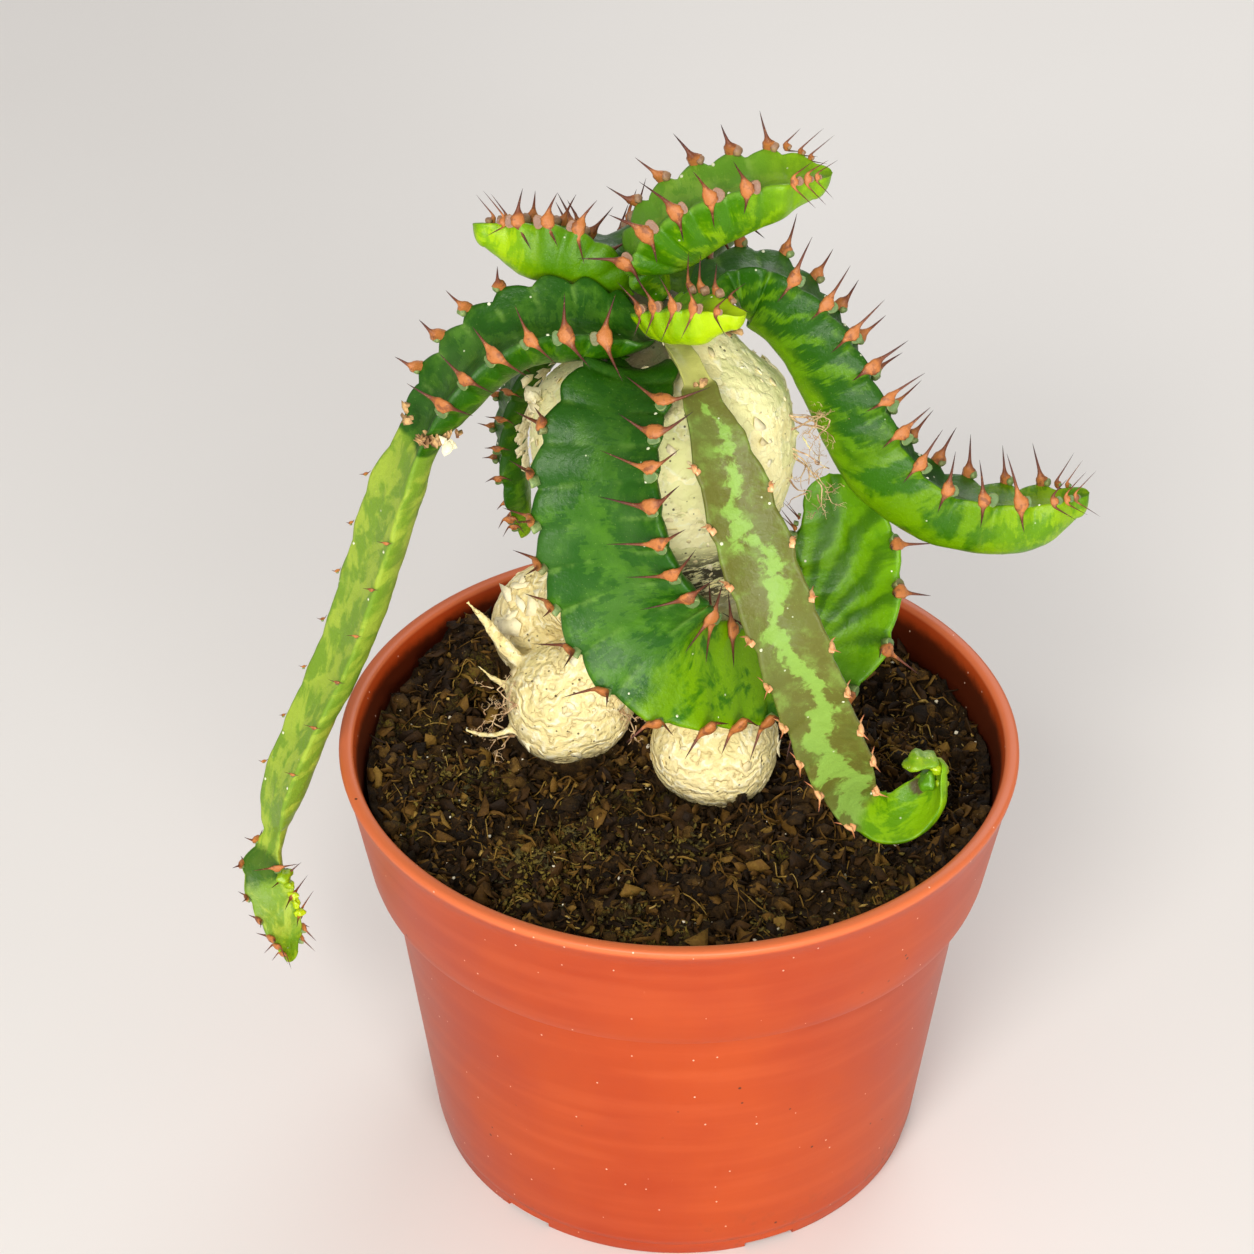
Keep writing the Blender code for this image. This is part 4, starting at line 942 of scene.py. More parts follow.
    growth = smoothstep(distance, length - FRESH_LENGTH.get(branch.look, 11), length)
    bruise = np.exp(-((distance - BRUISE_AT) / 2.6) ** 2 - ((side + 0.6) / 0.45) ** 2)
    # Painted shade in the long branch's narrow cup
    deep = np.exp(-((distance - SHADED_CUP_AT) / 4.0) ** 2)
    values = {
        "tooth": per_point(tooth, 0.0, tooth[-1, 0]), "fan": per_point(folds.reshape(rows, count)),
        "rim": per_point(rim, 0.0, 0.6), "side": per_point(side),
        "way": per_point(distance, 0.0, length), "crease": per_point(crease, 1.0, 1.0),
        "growth": per_point(growth, 0.0, 1.0), "neck": per_point(neck),
        "tone": per_point(tone * (1 - on_face * (branch.look == "arch")), 0.0, tone[-1, 0]),
        "bruise": per_point(bruise * on_face * olive),
        "deep": per_point(deep * on_face * long_branch),
    }
    make_piece(f"skin_{branch.name[7:]}", np.concatenate([points, [crown, tip]]),
               closed_faces(rows, count), looks[branch.look], SLOTS[branch.look], values,
               node=branch.name)


Tooth = namedtuple("Tooth", "edge outward along face distance margin spine size spines")


def near_branch(points, branch, slack):
    """Whether any of these points lies within a branch or this close to it."""
    course = Course(branch, np.arange(0.0, route_length(branch.stations), 2.0))
    for point in points:
        away = point - course.place
        beside = np.abs((away * course.side).sum(1)) < course.half + slack
        up = (away * course.face).sum(1)
        level = (up > -course.keel - slack) & (up < 1.0 + slack)
        abreast = np.abs((away * course.along).sum(1)) < 1.5
        if np.any(beside & level & abreast):
            return True
    return False


def rolled(tooth, angle):
    """The tooth turned from the margin towards the face, and moved in a little."""
    outward = tooth.outward * math.cos(angle) + tooth.face * math.sin(angle)
    face = tooth.face * math.cos(angle) - tooth.outward * math.sin(angle)
    edge = tooth.edge - tooth.outward * 1.5 * math.sin(angle) ** 2
    return tooth._replace(edge=edge, outward=outward, face=face)


def tooth_at(branch, margin, distance, spine, size, spines):
    at = Course(branch, distance)
    outward = at.side[0] * margin
    edge = at.place[0] + outward * at.half[0] + at.face[0] * MARGIN_LIFT * at.half[0]
    return Tooth(edge, outward, at.along[0], at.face[0], distance, margin, spine, size, spines)


def teeth_of(branch):
    """The teeth of every run where the margin isn't too tight, and small ones up to the tip."""
    found = []
    length = route_length(branch.stations)
    roll_end, roll = ROLLED.get(branch.name, (0.0, 0.0))
    spines = SPINES.get(branch.name, OTHER_SPINES)
    for margin in (1, -1):
        last = None
        for run in branch.runs:
            shift = 0.0 if margin > 0 else 1.0 - TEETH_SHIFT
            for distance in np.arange(run.first + shift * run.pitch, run.last + 0.01, run.pitch):
                tooth = tooth_at(branch, margin, distance, run.spine, run.size, spines[margin])
                if last is not None and np.linalg.norm(tooth.edge - last) < 0.5 * run.pitch:
                    continue
                last = tooth.edge
                if margin < 0 and distance < roll_end:
                    tooth = rolled(tooth, roll)
                found.append(tooth)
        if branch.look == "olive":
            continue
        for i, back in enumerate(TIP_TEETH):
            tooth = tooth_at(branch, margin, length - back + 0.4 * margin, run.spine * 1.05,
                             0.6 - 0.1 * i, TIP_SPINES)
            if np.linalg.norm(tooth.edge - last) > 1.8:
                last = tooth.edge
                found.append(tooth)
    return found


def lie_of(tooth):
    """How a shield lies on its tooth: middle, across to the face's side, ahead and outward."""
    axes = np.array([tooth.outward, tooth.face, tooth.along])
    first, second = (np.array(way) @ axes for way in tooth.spines)
    across = unit(first - second)
    normal = square_to(tooth.outward + 0.35 * tooth.face, across)
    ahead = np.cross(across, normal)
    ahead = ahead * (1.0 if np.dot(ahead, tooth.along) > 0 else -1.0)
    middle = tooth.edge + 0.1 * normal - tooth.outward * (1 - float(np.dot(normal, tooth.outward)))
    return middle, across, ahead, normal, (second, first)


def spindle(tooth, draw):
    """A shield on a tooth that draws out into two spines."""
    size = tooth.size * draw.uniform(0.88, 1.1)
    middle, across, ahead, normal, ways = lie_of(tooth)
    arms = [way * tooth.spine / SPINE_UNIT * draw.uniform(0.75, 1.15)
            + gauss3(draw, 0.28) * tooth.size for way in ways]
    curl = [draw.uniform(-0.5, 0.5) for _ in range(2)]
    points, reach = [], []
    for place, back, front, high in SPINDLE:
        half, sign = (0, -1) if place < 0 else (1, 1)
        t = abs(place)
        arm = arms[half]
        run = min(t / 0.3, 1.0)
        centre = (middle + across * sign * run * 1.75 * size - normal * 0.3 * run ** 2 * size
                  - ahead * 0.25 * run * size + arm * max(0.0, (t - 0.24) / 0.76)
                  + ahead * curl[half] * max(0.0, t - 0.3) ** 2)
        blend = float(np.clip((t - 0.2) / 0.2, 0, 1))
        way = unit(across * (1 - blend) + unit(arm) * sign * blend)
        front_way = square_to(ahead, way)
        up = square_to(normal, way, front_way)
        sunk = 2.2 if t < 0.25 else 1.0
        for k in range(SPINDLE_SIDES):
            angle = 2 * math.pi * k / SPINDLE_SIDES
            forward = math.cos(angle) * (front if math.cos(angle) > 0 else back)
            rise = math.sin(angle) * high * (1.0 if math.sin(angle) > 0 else sunk)
            points.append(centre + (front_way * forward + up * rise) * size)
            reach.append(t)
    points = np.array(points)
    if np.dot(np.cross(across, ahead), normal) < 0:    # so that both margins run the same way
        points = points.reshape(-1, SPINDLE_SIDES, 3)[:, ::-1].reshape(-1, 3)
    ring = np.arange(SPINDLE_SIDES)
    faces = [grid_faces(len(SPINDLE), SPINDLE_SIDES), ring[::-1][None, :],
             (ring + (len(SPINDLE) - 1) * SPINDLE_SIDES)[None, :]]
    return points, faces, np.array(reach)


def scar(tooth, draw, size):
    """A flat leaf scar with a raised edge, just past a shield."""
    middle, across, ahead, normal, _ = lie_of(tooth)
    normal = unit(normal + ahead * 0.3)
    centre = middle + ahead * (1.5 + draw.uniform(0, 0.25)) * size - normal * 0.34 * size
    wide = square_to(across, normal)
    deep = np.cross(normal, wide)
    sides = 12
    points, shade = [], []
    wobble = draw.uniform(0, 6)
    for radius, height, tone in SCAR_RINGS:
        for k in range(sides):
            angle = 2 * math.pi * k / sides
            spread = radius * size * (1.0 + 0.09 * math.sin(3 * angle + wobble))
            points.append(centre + wide * math.cos(angle) * 1.25 * spread
                          + deep * math.sin(angle) * 1.05 * spread + normal * height * size)
            shade.append(tone)
    points += [centre - normal * 1.7 * size, centre + normal * 0.02 * size]
    return np.array(points), closed_faces(len(SCAR_RINGS), sides), np.array(shade + [1.0, 0.0])


class Heap:
    """Many small closed meshes gathered into one piece."""

    def __init__(self):
        self.points, self.faces, self.values, self.count = [], {}, {}, 0

    def add(self, points, faces, **values):
        for group in faces:
            self.faces.setdefault(group.shape[1], []).append(group + self.count)
        for key, data in values.items():
            data = np.broadcast_to(np.asarray(data, dtype=float), (len(points),))
            self.values.setdefault(key, []).append(data)
        self.points.append(points)
        self.count += len(points)

    def piece(self, name, look, slot, smooth=True):
        if not self.count:
            return None
        faces = [np.concatenate(groups) for groups in self.faces.values()]
        values = {key: np.concatenate(data) for key, data in self.values.items()}
        return make_piece(name, np.concatenate(self.points), faces, look, slot, values, smooth)


def thorn_pieces(branch, looks):
    """A branch's shields with their spines, the leaf scars beside them and tiny pale dots."""
    draw = random.Random(f"{SEED} {branch.name}")
    horns, scars, pearls = Heap(), Heap(), Heap()
    others = [other for other in BRANCHES if other is not branch]
    for tooth in teeth_of(branch):
        points, faces, reach = spindle(tooth, draw)
        tips = [points[:SPINDLE_SIDES].mean(0), points[-SPINDLE_SIDES:].mean(0)]
        if any(near_branch(tips + [tooth.edge], other, 0.2) for other in others):
            continue
        horns.add(points, faces, reach=reach, mark=draw.random())
        points, faces, shade = scar(tooth, draw, tooth.size * draw.uniform(0.72, 0.98)
                                    * (0.7 if tooth.margin == FAR_MARGIN.get(branch.name) else 1))
        scars.add(points, faces, shade=shade, mark=draw.random())
        if draw.random() < 0.4 and tooth.distance < route_length(branch.stations) - 8:
            at = Course(branch, tooth.distance + draw.uniform(2.6, 3.6))
            place = at.place[0] + at.side[0] * tooth.margin * at.half[0] * 0.78 - at.face[0] * 0.3
            pearls.add(*ball((0.32, 0.32, 0.32), place, 6, 10))
    name, slot = branch.name[7:], SLOTS[branch.look]
    horns.piece(f"spines_{name}", looks["horn_stub" if branch.bud == "stub" else "horn"], slot)
    scars.piece(f"leaf_scars_{name}", looks["bud_" + branch.bud], slot)
    pearls.piece(f"pearls_{name}", looks["pearl"], slot)


def young_lumps(looks):
    """Knobs on the hanging branch's tip and swelling buds on the long branch's last growth."""
    draw = random.Random(f"{SEED} lumps")
    template, faces = crumb_template(3)
    heap = Heap()
    for place, size, mark in LUMPS:
        heap.add(lumpy(template, size, draw) + place, faces, mark=mark)
    heap.piece("tip_knobs", looks["knob"], "dull_branch")
    at = Course(FRONT_HANGING, NECK_LENGTH)
    neck = Heap()
    for side, size in ((-0.35, 0.75), (0.1, 0.5)):
        place = at.place[0] + at.side[0] * side * at.half[0] - at.face[0] * 0.1
        neck.add(lumpy(template, size, draw) * [1.0, 0.7, 1.3] + place, faces, mark=0.2)
    neck.piece("neck_scar", looks["bract"], "dull_branch")
    heap = Heap()
    for distance in SWELLING_BUDS:
        at = Course(LEFT_LONG, distance)
        place = at.place[0] - at.side[0] * (at.half[0] - 0.4) + at.face[0] * 0.3
        heap.add(lumpy(template, draw.uniform(0.95, 1.3), draw) + place, faces,
                 mark=draw.uniform(0.35, 0.75))
    heap.piece("swelling_buds", looks["knob"], "dark_branch")


def tube(knots, sides, spacing, rough=0.0):
    """A round closed tube through (place, radius) knots."""
    rows = [(*place, radius) for place, radius in knots]
    length = route_length(rows)
    samples = smooth_samples(rows, np.linspace(0.0, length, max(4, round(length / spacing) + 1)))
    ways = unit(np.gradient(samples[:, :3], axis=0))
    across = np.array([0.0, 1.0, 0.0])
    points = []
    for sample, way in zip(samples, ways):
        across = unit(across - way * across.dot(way))
        other = np.cross(way, across)
        for i in range(sides):
            angle = 2 * math.pi * i / sides
            spoke = across * math.cos(angle) + other * math.sin(angle)
            radius = sample[3] * (1 + rough * noise.noise(Vector(sample[:3] + spoke) * 1.1))
            points.append(sample[:3] + spoke * radius)
    points += [samples[0, :3], samples[-1, :3]]
    return np.array(points), closed_faces(len(samples), sides)


def ball(radii, place, rows=24, columns=36):
    turn = np.linspace(0, math.pi, rows + 2)[1:-1]
    round_ = np.linspace(0, 2 * math.pi, columns, endpoint=False)
    t, r = np.meshgrid(turn, round_, indexing="ij")
    shell = np.stack([np.sin(t) * np.cos(r), np.sin(t) * np.sin(r), np.cos(t)], -1).reshape(-1, 3)
    shell = np.concatenate([shell, [[0, 0, 1], [0, 0, -1]]])
    return shell * np.array(radii) + np.array(place), closed_faces(rows, columns)


def caudex_pieces(looks):
    """The swollen root, remeshed into one skin and wrinkled, with rootlets."""
    heap = Heap()
    heap.add(*tube(BULB_ROUTE, 48, 2.0))
    for tuber in TUBERS:
        heap.add(*ball(tuber.radii, tuber.place))
    for neck in ROOT_NECKS:
        heap.add(*tube(neck, 32, 2.0))
    for route in ROOTLETS:
        thin = 0.8 if route[0][0][0] < 0 else 0.5
        heap.add(*tube([(place, thin * radius) for place, radius in route], 12, 1.0, 0.5))
    rough = heap.piece("root_rough", looks["root"], "caudex")
    remesh = rough.modifiers.new("skin", "REMESH")
    remesh.mode = "VOXEL"
    remesh.voxel_size = ROOT_VOXEL * MM
    soften = rough.modifiers.new("soften", "SMOOTH")
    soften.iterations = 6
    soften.factor = 0.5
    graph = bpy.context.evaluated_depsgraph_get()
    mesh = bpy.data.meshes.new_from_object(rough.evaluated_get(graph))
    count = len(mesh.vertices)
    points, normals = np.empty(count * 3), np.empty(count * 3, dtype=np.float32)
    mesh.vertices.foreach_get("co", points)
    mesh.vertices.foreach_get("normal", normals)
    points, normals = points.reshape(-1, 3) / MM, normals.reshape(-1, 3)
    rings = [list(p.vertices) for p in mesh.polygons]
    faces = [np.array([ring for ring in rings if len(ring) == size]) for size in (4, 3)]
    bpy.data.objects.remove(rough)
    lump, fold = np.empty(count), np.empty(count)
    for i, p in enumerate(points):
        v = Vector(p)
        warp = noise.noise(v * 0.08) * 3.0
        wide = Vector((p[0] * 0.1, p[1] * 0.1, p[2] * 0.42 + warp))
        ridge = 1.0 - abs(noise.noise(wide)) * 2.2
        net = 1.0 - abs(noise.noise(Vector((p[0] * 0.33, p[1] * 0.33, p[2] * 0.62)))) * 2.6
        fold[i] = max(0.0, ridge) ** 3 * 0.6 + max(0.0, net) ** 4 * 0.4
        lump[i] = noise.noise(v * 0.1) * 0.9 + noise.noise(v * 0.8) * 0.1
    thin = np.zeros(count, dtype=bool)
    for route in ROOTLETS:
        for place, _ in route[1:]:
            thin |= np.linalg.norm(points - place, axis=1) < 4.0
    points = points + normals * ((lump - 0.32 * fold + 0.12) * np.where(thin, 0.35, 1.0))[:, None]
    x, y, z = points.T
    # The dark crown reaches lower on the left
    top = smoothstep(z, 155.0, 158.5) * (1 - smoothstep(x, -3.5, -0.5))
    values = {"fold": fold, "low": np.clip((SOIL_LEVEL + 3.5 - z) / 4.0, 0, 1),
              "stain": np.exp(-((z - GIRDLE_HEIGHT) / 7.0) ** 4) * (y < 5),
              "top": np.maximum(top, smoothstep(z, 162.5, 165.0))}
    make_piece("root", points, [group for group in faces if len(group)], looks["root"], "caudex",
               values, node="caudex")
    return points, normals, thin


def flakes(points, normals, thin, looks):
    """Papery bits of dead skin that lift off the root."""
    draw = random.Random(f"{SEED} flakes")
    heap = Heap()
    picks = [i for i in range(0, len(points), 3) if points[i][2] > SOIL_LEVEL + 2 and not thin[i]]
    for _ in range(FLAKES):
        i = draw.choice(picks)
        normal = normals[i].astype(float)
        size = draw.uniform(0.4, 1.2) * (1.6 if draw.random() < 0.14 else 1.0)
        heap.add(*shard(points[i] + normal * 0.05, normal, size, 0.1, draw), mark=draw.random())
    heap.piece("root_flakes", looks["peel"], "caudex", smooth=False)


def dry_bits(looks):
    """Peeling skin beside the bulb and dried bracts where a new growth began."""
    draw = random.Random(f"{SEED} dry")

    def spot_bits(spots):
        heap = Heap()
        for middle, spread, count, size in spots:
            for _ in range(count):
                place = np.array([draw.gauss(m, s * 0.6) for m, s in zip(middle, spread)])
                normal = unit(gauss3(draw, 0.5) + [-0.5, -0.7, 0.3])
                heap.add(*shard(place, normal, size * draw.uniform(0.5, 1.2), 0.1, draw, 0.3,
                                0.2, 0.5), mark=draw.random())
        return heap

    heap = spot_bits(PEEL_SPOTS)
    for _ in range(BEHIND_BITS):
        at = Course(LEFT_BEHIND, draw.uniform(9.0, 46.0))
        turn = draw.gauss(1.0, 0.16)
        beside, below = at.side[0] * math.cos(turn), at.face[0] * math.sin(turn)
        normal = unit(-beside - below)
        place = at.place[0] - beside * at.half[0] - below * at.keel[0] + normal * 0.1
        heap.add(*shard(place, normal, draw.uniform(0.8, 1.9), 0.1, draw, 0.1, 0.1, 0.5),
                 mark=0.6 + 0.4 * draw.random())
    for _ in range(BEND_BITS):
        place = np.array([draw.gauss(-38.0, 1.6), draw.gauss(-8.0, 0.3), draw.gauss(149.9, 0.4)])
        heap.add(*shard(place, unit(np.array([0.1, -1.0, 0.6])), draw.uniform(0.7, 1.5), 0.1, draw,
                        0.2, 0.2, 0.5), mark=0.6 + 0.4 * draw.random())
    torn = TUBERS[-1]
    for _ in range(TORN_BITS):
        turn = draw.uniform(0.3, 2.9)
        normal = unit(np.array([-math.cos(turn), draw.uniform(-1.0, -0.2), math.sin(turn)]))
        heap.add(*shard(torn.place + normal * torn.radii, normal, draw.uniform(1.0, 2.4), 0.12,
                        draw, 0.5, 0.3, 0.5), mark=0.5 + 0.5 * draw.random())
    heap.piece("dry_peel", looks["peel"], "caudex", smooth=False)
    spot_bits(BRACT_SPOTS).piece("dry_bracts", looks["bract"], "dark_branch", smooth=False)


def twigs(looks):
    """Lacy rootlets on the bulb's right and threads on the tubers."""
    draw = random.Random(f"{SEED} twigs")
    heap = Heap()
    for start, way, length, count in TWIGS:
        for _ in range(count):
            twig(heap, np.array(start) + [draw.uniform(-0.5, 0.5) for _ in range(3)],
                 np.array(way), length * draw.uniform(0.7, 1.1), 0.24, draw, 4)
    heap.piece("rootlets", looks["twig"], "caudex")


def twig(heap, start, way, length, radius, draw, forks):
    """A wandering root hair with smaller ones that fork off it."""
    knots, place, steps = [], start, 7
    for k in range(steps):
        knots.append((tuple(place), radius * (1.0 - 0.11 * k)))
        way = unit(way + gauss3(draw, 0.32))
        place = place + way * length / (steps - 1)
        if forks and k > 1 and draw.random() < 0.5:
            side = unit(way + gauss3(draw, 0.8))
            twig(heap, place, side, length * 0.5, radius * 0.6, draw, forks - 1)
    heap.add(*tube(knots, 4, length / 7), mark=draw.random())


def shard(place, normal, size, thick, draw, lift=0.3, bend=None, ragged=0.25):
    """A thin bent chip with a ragged outline, lifted along one side."""
    side = unit(np.cross(normal, [draw.uniform(-1, 1), draw.uniform(-1, 1), draw.uniform(-1, 1)]))
    other = np.cross(normal, side)
    corners = draw.randint(5, 7) if ragged > 0.3 else draw.randint(6, 9)
    top = []
    stretch = draw.uniform(0.45, 0.9)
    bend = draw.uniform(-0.4, 0.6) if bend is None else bend
    for k in range(corners):
        angle = 2 * math.pi * k / corners + draw.uniform(-0.2, 0.2)
        radius = size * draw.uniform(0.9 - ragged, 0.9 + ragged)
        x = math.cos(angle) * radius
        y = math.sin(angle) * radius * stretch
        rise = lift * max(0.0, x) + bend * x * x / max(size, 0.1) * 0.4
        top.append(place + side * x + other * y + normal * rise)
    top = np.array(top)
    bottom = top - normal * thick
    middles = [bottom.mean(0), top.mean(0) + normal * 0.05 * size]
    return np.concatenate([bottom, top, middles]), closed_faces(2, corners)


def shred(place, length, draw, steps=3):
    """A thin strip of bark that arches and twists."""
    heading = draw.uniform(0, 2 * math.pi)
    turn = draw.uniform(-1.6, 1.6) / steps
    wide = length * draw.uniform(0.12, 0.4)
    thick = draw.uniform(0.1, 0.22)
    arch = draw.uniform(-0.3, 1.0) * length * 0.16
    roll = draw.uniform(-1.4, 1.4)
    twist = draw.uniform(-0.6, 0.6)
    points = []
    for k in range(steps + 1):
        share = k / steps
        way = np.array([math.cos(heading), math.sin(heading), 0.0])
        beside = np.array([-math.sin(heading), math.cos(heading), 0.0])
        tilt = roll + twist * k
        across = beside * math.cos(tilt) + np.array([0, 0, 1.0]) * math.sin(tilt)
        down = np.cross(across, way) * thick
        half = across * 0.5 * wide * (1 - 0.6 * abs(2 * share - 1) ** 2.5) * draw.uniform(0.5, 1.4)
        middle = place + np.array([0, 0, arch * math.sin(share * math.pi)])
        points += [middle - half, middle + half, middle + half + down, middle - half + down]
        heading += turn + draw.uniform(-0.35, 0.35)
        place = place + way * length / steps
    last = 4 * steps
    ends = np.array([[3, 2, 1, 0], [last, last + 1, last + 2, last + 3]])
    return np.array(points), [grid_faces(steps + 1, 4), ends]


def soil_height(x, y):
    level = SOIL_LEVEL + SOIL_LUMP * noise.noise(Vector((x, y, 3.0)) * 0.09)
    for middle_x, middle_y, height, spread in SOIL_MOUNDS:
        level += height * math.exp(-((x - middle_x) ** 2 + (y - middle_y) ** 2) / spread)
    return level


def inner_radius(height):
    """The pot's inner wall at a height."""
    bottom = BASE_RADIUS - WALL
    above = COLLAR_FOOT_RADIUS - WALL
    if height < LEDGE:
        return bottom + (above - COLLAR_STEP - bottom) * (height - FLOOR) / (LEDGE - FLOOR)
    return above + (RIM_RADIUS - LIP_WIDTH - above) * (height - LEDGE) / (POT_HEIGHT - LEDGE)


def rough_soil(x, y):
    """The soil's surface with its clods and hollows, which are lower near the wall."""
    v = Vector((x, y, 9.0))
    clod = noise.noise(v * 0.13) * 2.6 + noise.noise(v * 0.34) * 2.4
    crumb = abs(noise.noise(v * 0.75)) * 2.6 + noise.noise(v * 1.9) * 0.8
    inside = 1.0 - 0.6 * float(np.clip((math.hypot(x, y) - 44.0) / 10.0, 0, 1))
    return soil_height(x, y) + clod * inside + crumb - 0.8


def soil_bed(looks, brim):
    """The body of soil, with a rough top."""
    sides, rings = 320, 92
    angles = [2 * math.pi * i / sides for i in range(sides)]
    points = []
    for height, radius in ((FLOOR + 0.3, inner_radius(FLOOR)),
                           (LEDGE + 0.3, inner_radius(LEDGE - 0.1)),
                           (LEDGE + 0.6, inner_radius(LEDGE + 0.1)),
                           (SOIL_LEVEL - 4.5, inner_radius(SOIL_LEVEL - 4.5))):
        radius -= 0.4
        points += [(radius * math.cos(a), radius * math.sin(a), height) for a in angles]
    for i in range(rings):
        for a in angles:
            x, y = [brim * (1.0 - i / rings) * part for part in (math.cos(a), math.sin(a))]
            points.append((x, y, rough_soil(x, y)))
    points += [(0, 0, FLOOR + 0.3), (0, 0, rough_soil(0, 0))]
    make_piece("soil_bed", np.array(points), closed_faces(rings + 4, sides), looks["soil"], "soil",
               {"mark": np.full(len(points), 0.4)}, node="soil")


def in_root(x, y, slack):
    return any(math.hypot((x - t.place[0]) / (t.radii[0] + slack),
                          (y - t.place[1]) / (t.radii[1] + slack)) < 0.93 for t in TUBERS)


def soil_pieces(looks):
    """The bed of soil with its crumbs, leaf bits, shreds, fibres, grit and moss."""
    draw = random.Random(f"{SEED} soil")
    brim = inner_radius(SOIL_LEVEL - 3) - 0.35
    soil_bed(looks, brim)

    def spots(count, slack, margin=0.0):
        """Drawn places on the soil that are clear of the root, with the soil's height there."""
        for _ in range(count):
            radius = (brim - 1.0 - margin) * math.sqrt(draw.random())
            angle = draw.uniform(0, 2 * math.pi)
            x, y = radius * math.cos(angle), radius * math.sin(angle)
            if not in_root(x, y, slack):
                yield np.array([x, y, rough_soil(x, y)])

    def above(height):
        return np.array([0, 0, height])

    crumbs = Heap()
    template, faces = crumb_template(2)
    plain = crumb_template(1)
    for place in spots(CRUMBS, 0.0):
        size = 0.35 + 1.3 * draw.random() ** 3
        form, form_faces = (template, faces) if size > 0.8 else plain
        crumbs.add(lumpy(form, size, draw) + place + above(size * 0.3), form_faces,
                   mark=draw.random())
    crumbs.piece("soil_crumbs", looks["soil"], "soil")

    litter = Heap()
    for place in spots(LITTER, 0.5):
        normal = unit(np.array([draw.gauss(0, 0.8), draw.gauss(0, 0.8), draw.uniform(0.1, 1.0)]))
        size = 0.4 + 1.9 * draw.random() ** 2.6
        litter.add(*shard(place + above(0.2 + 0.4 * size), normal, size, draw.uniform(0.1, 0.25),
                          draw, lift=0.35, bend=draw.uniform(0.1, 0.8), ragged=0.5),
                   mark=draw.random() ** 1.7 * (0.95 if size < 0.9 else 0.7))
    litter.piece("soil_litter", looks["litter"], "soil", smooth=False)

    shreds = Heap()
    for place in spots(SHREDS, 0.8, 1.0):
        length = 0.9 + 4.0 * draw.random() ** 2.4
        shreds.add(*shred(place + above(draw.uniform(-0.1, 0.7)), length, draw),
                   mark=draw.random() ** 1.9 * (0.95 if length < 2.6 else 0.78))
    shreds.piece("soil_shreds", looks["litter"], "soil", smooth=False)

    fibres = Heap()
    for x, y, _ in spots(FIBRES, 1.5, 3.0):
        length = draw.uniform(2.0, 9.0)
        way = draw.uniform(0, 2 * math.pi)
        turn = draw.uniform(-0.35, 0.35)
        thin = draw.uniform(0.07, 0.2)
        knots = []
        inside = True
        for k in range(5):
            rise = 0.5 + draw.uniform(0.0, 1.6) * math.sin(k / 4 * math.pi)
            knots.append(((x, y, rough_soil(x, y) + rise), thin * (1.0 - 0.15 * k)))
            way += turn + draw.uniform(-0.3, 0.3)
            x += math.cos(way) * length / 4
            y += math.sin(way) * length / 4
            inside = inside and math.hypot(x, y) < brim - 0.6 and not in_root(x, y, 1.0)
        if inside:
            fibres.add(*tube(knots, 5, length / 7), mark=0.3 + 0.6 * draw.random())
    fibres.piece("soil_fibres", looks["litter"], "soil")

    grit = Heap()
    for place in spots(GRIT, 0.5):
        size = 0.12 + 0.3 * draw.random() ** 3
        grit.add(lumpy(template, size, draw) + place + above(size + 0.6), faces)
    grit.piece("soil_grit", looks["grit"], "soil")

    moss = Heap()
    for cx, cy, spread, count in MOSS:
        for _ in range(count):
            x = cx + draw.gauss(0, spread / 2)
            y = cy + draw.gauss(0, spread / 2)
            if math.hypot(x, y) > brim - 1.5 or in_root(x, y, 1.0):
                continue
            normal = unit(np.array([draw.gauss(0, 0.7), draw.gauss(0, 0.7), 1.0]))
            place = np.array([x, y, rough_soil(x, y) + draw.uniform(0.2, 1.2)])
            moss.add(*shard(place, normal, draw.uniform(0.2, 0.65), 0.12, draw, 0.8, 0.5, 0.4),
                     mark=draw.random())
    moss.piece("soil_moss", looks["moss"], "soil", smooth=False)


def crumb_template(detail):
    bm = bmesh.new()
    bmesh.ops.create_icosphere(bm, subdivisions=detail, radius=1.0)
    points = np.array([v.co[:] for v in bm.verts])
    faces = np.array([[v.index for v in f.verts] for f in bm.faces])
    bm.free()
    return points, [faces]


def lumpy(template, size, draw):
    """A crumb: the template stretched, turned and roughened."""
    stretch = np.array([draw.uniform(0.6, 1.3), draw.uniform(0.6, 1.3), draw.uniform(0.5, 0.9)])
    shift = Vector((draw.uniform(-50, 50), draw.uniform(-50, 50), draw.uniform(-50, 50)))
    rough = np.array([1.0 + 0.55 * noise.noise(Vector(p) * 1.3 + shift) for p in template])
    turn = np.array(Matrix.Rotation(draw.uniform(0, 2 * math.pi), 3, "Z")
                    @ Matrix.Rotation(draw.uniform(-0.5, 0.5), 3, "X"))
    return (template * rough[:, None] * stretch * size) @ turn.T


def turned(name, profile, steps, closed=False):
    """A body turned round the pot's axis from a profile that runs down its outer side."""
    mesh = bpy.data.meshes.new(name)
    points = [(radius * MM, 0.0, height * MM) for radius, height in profile]
    edges = [(i, i + 1) for i in range(len(points) - 1)]
    if closed:
        edges.append((len(points) - 1, 0))
    mesh.from_pydata(points, edges, [])
    obj = linked(name, mesh)
    screw = obj.modifiers.new("turn", "SCREW")
    screw.steps = steps
    screw.render_steps = steps
    screw.use_merge_vertices = True
    screw.merge_threshold = 0.00001
    return baked(obj)


def baked(obj):
    graph = bpy.context.evaluated_depsgraph_get()
    mesh = bpy.data.meshes.new_from_object(obj.evaluated_get(graph))
    obj.modifiers.clear()
    obj.data = mesh
    return obj


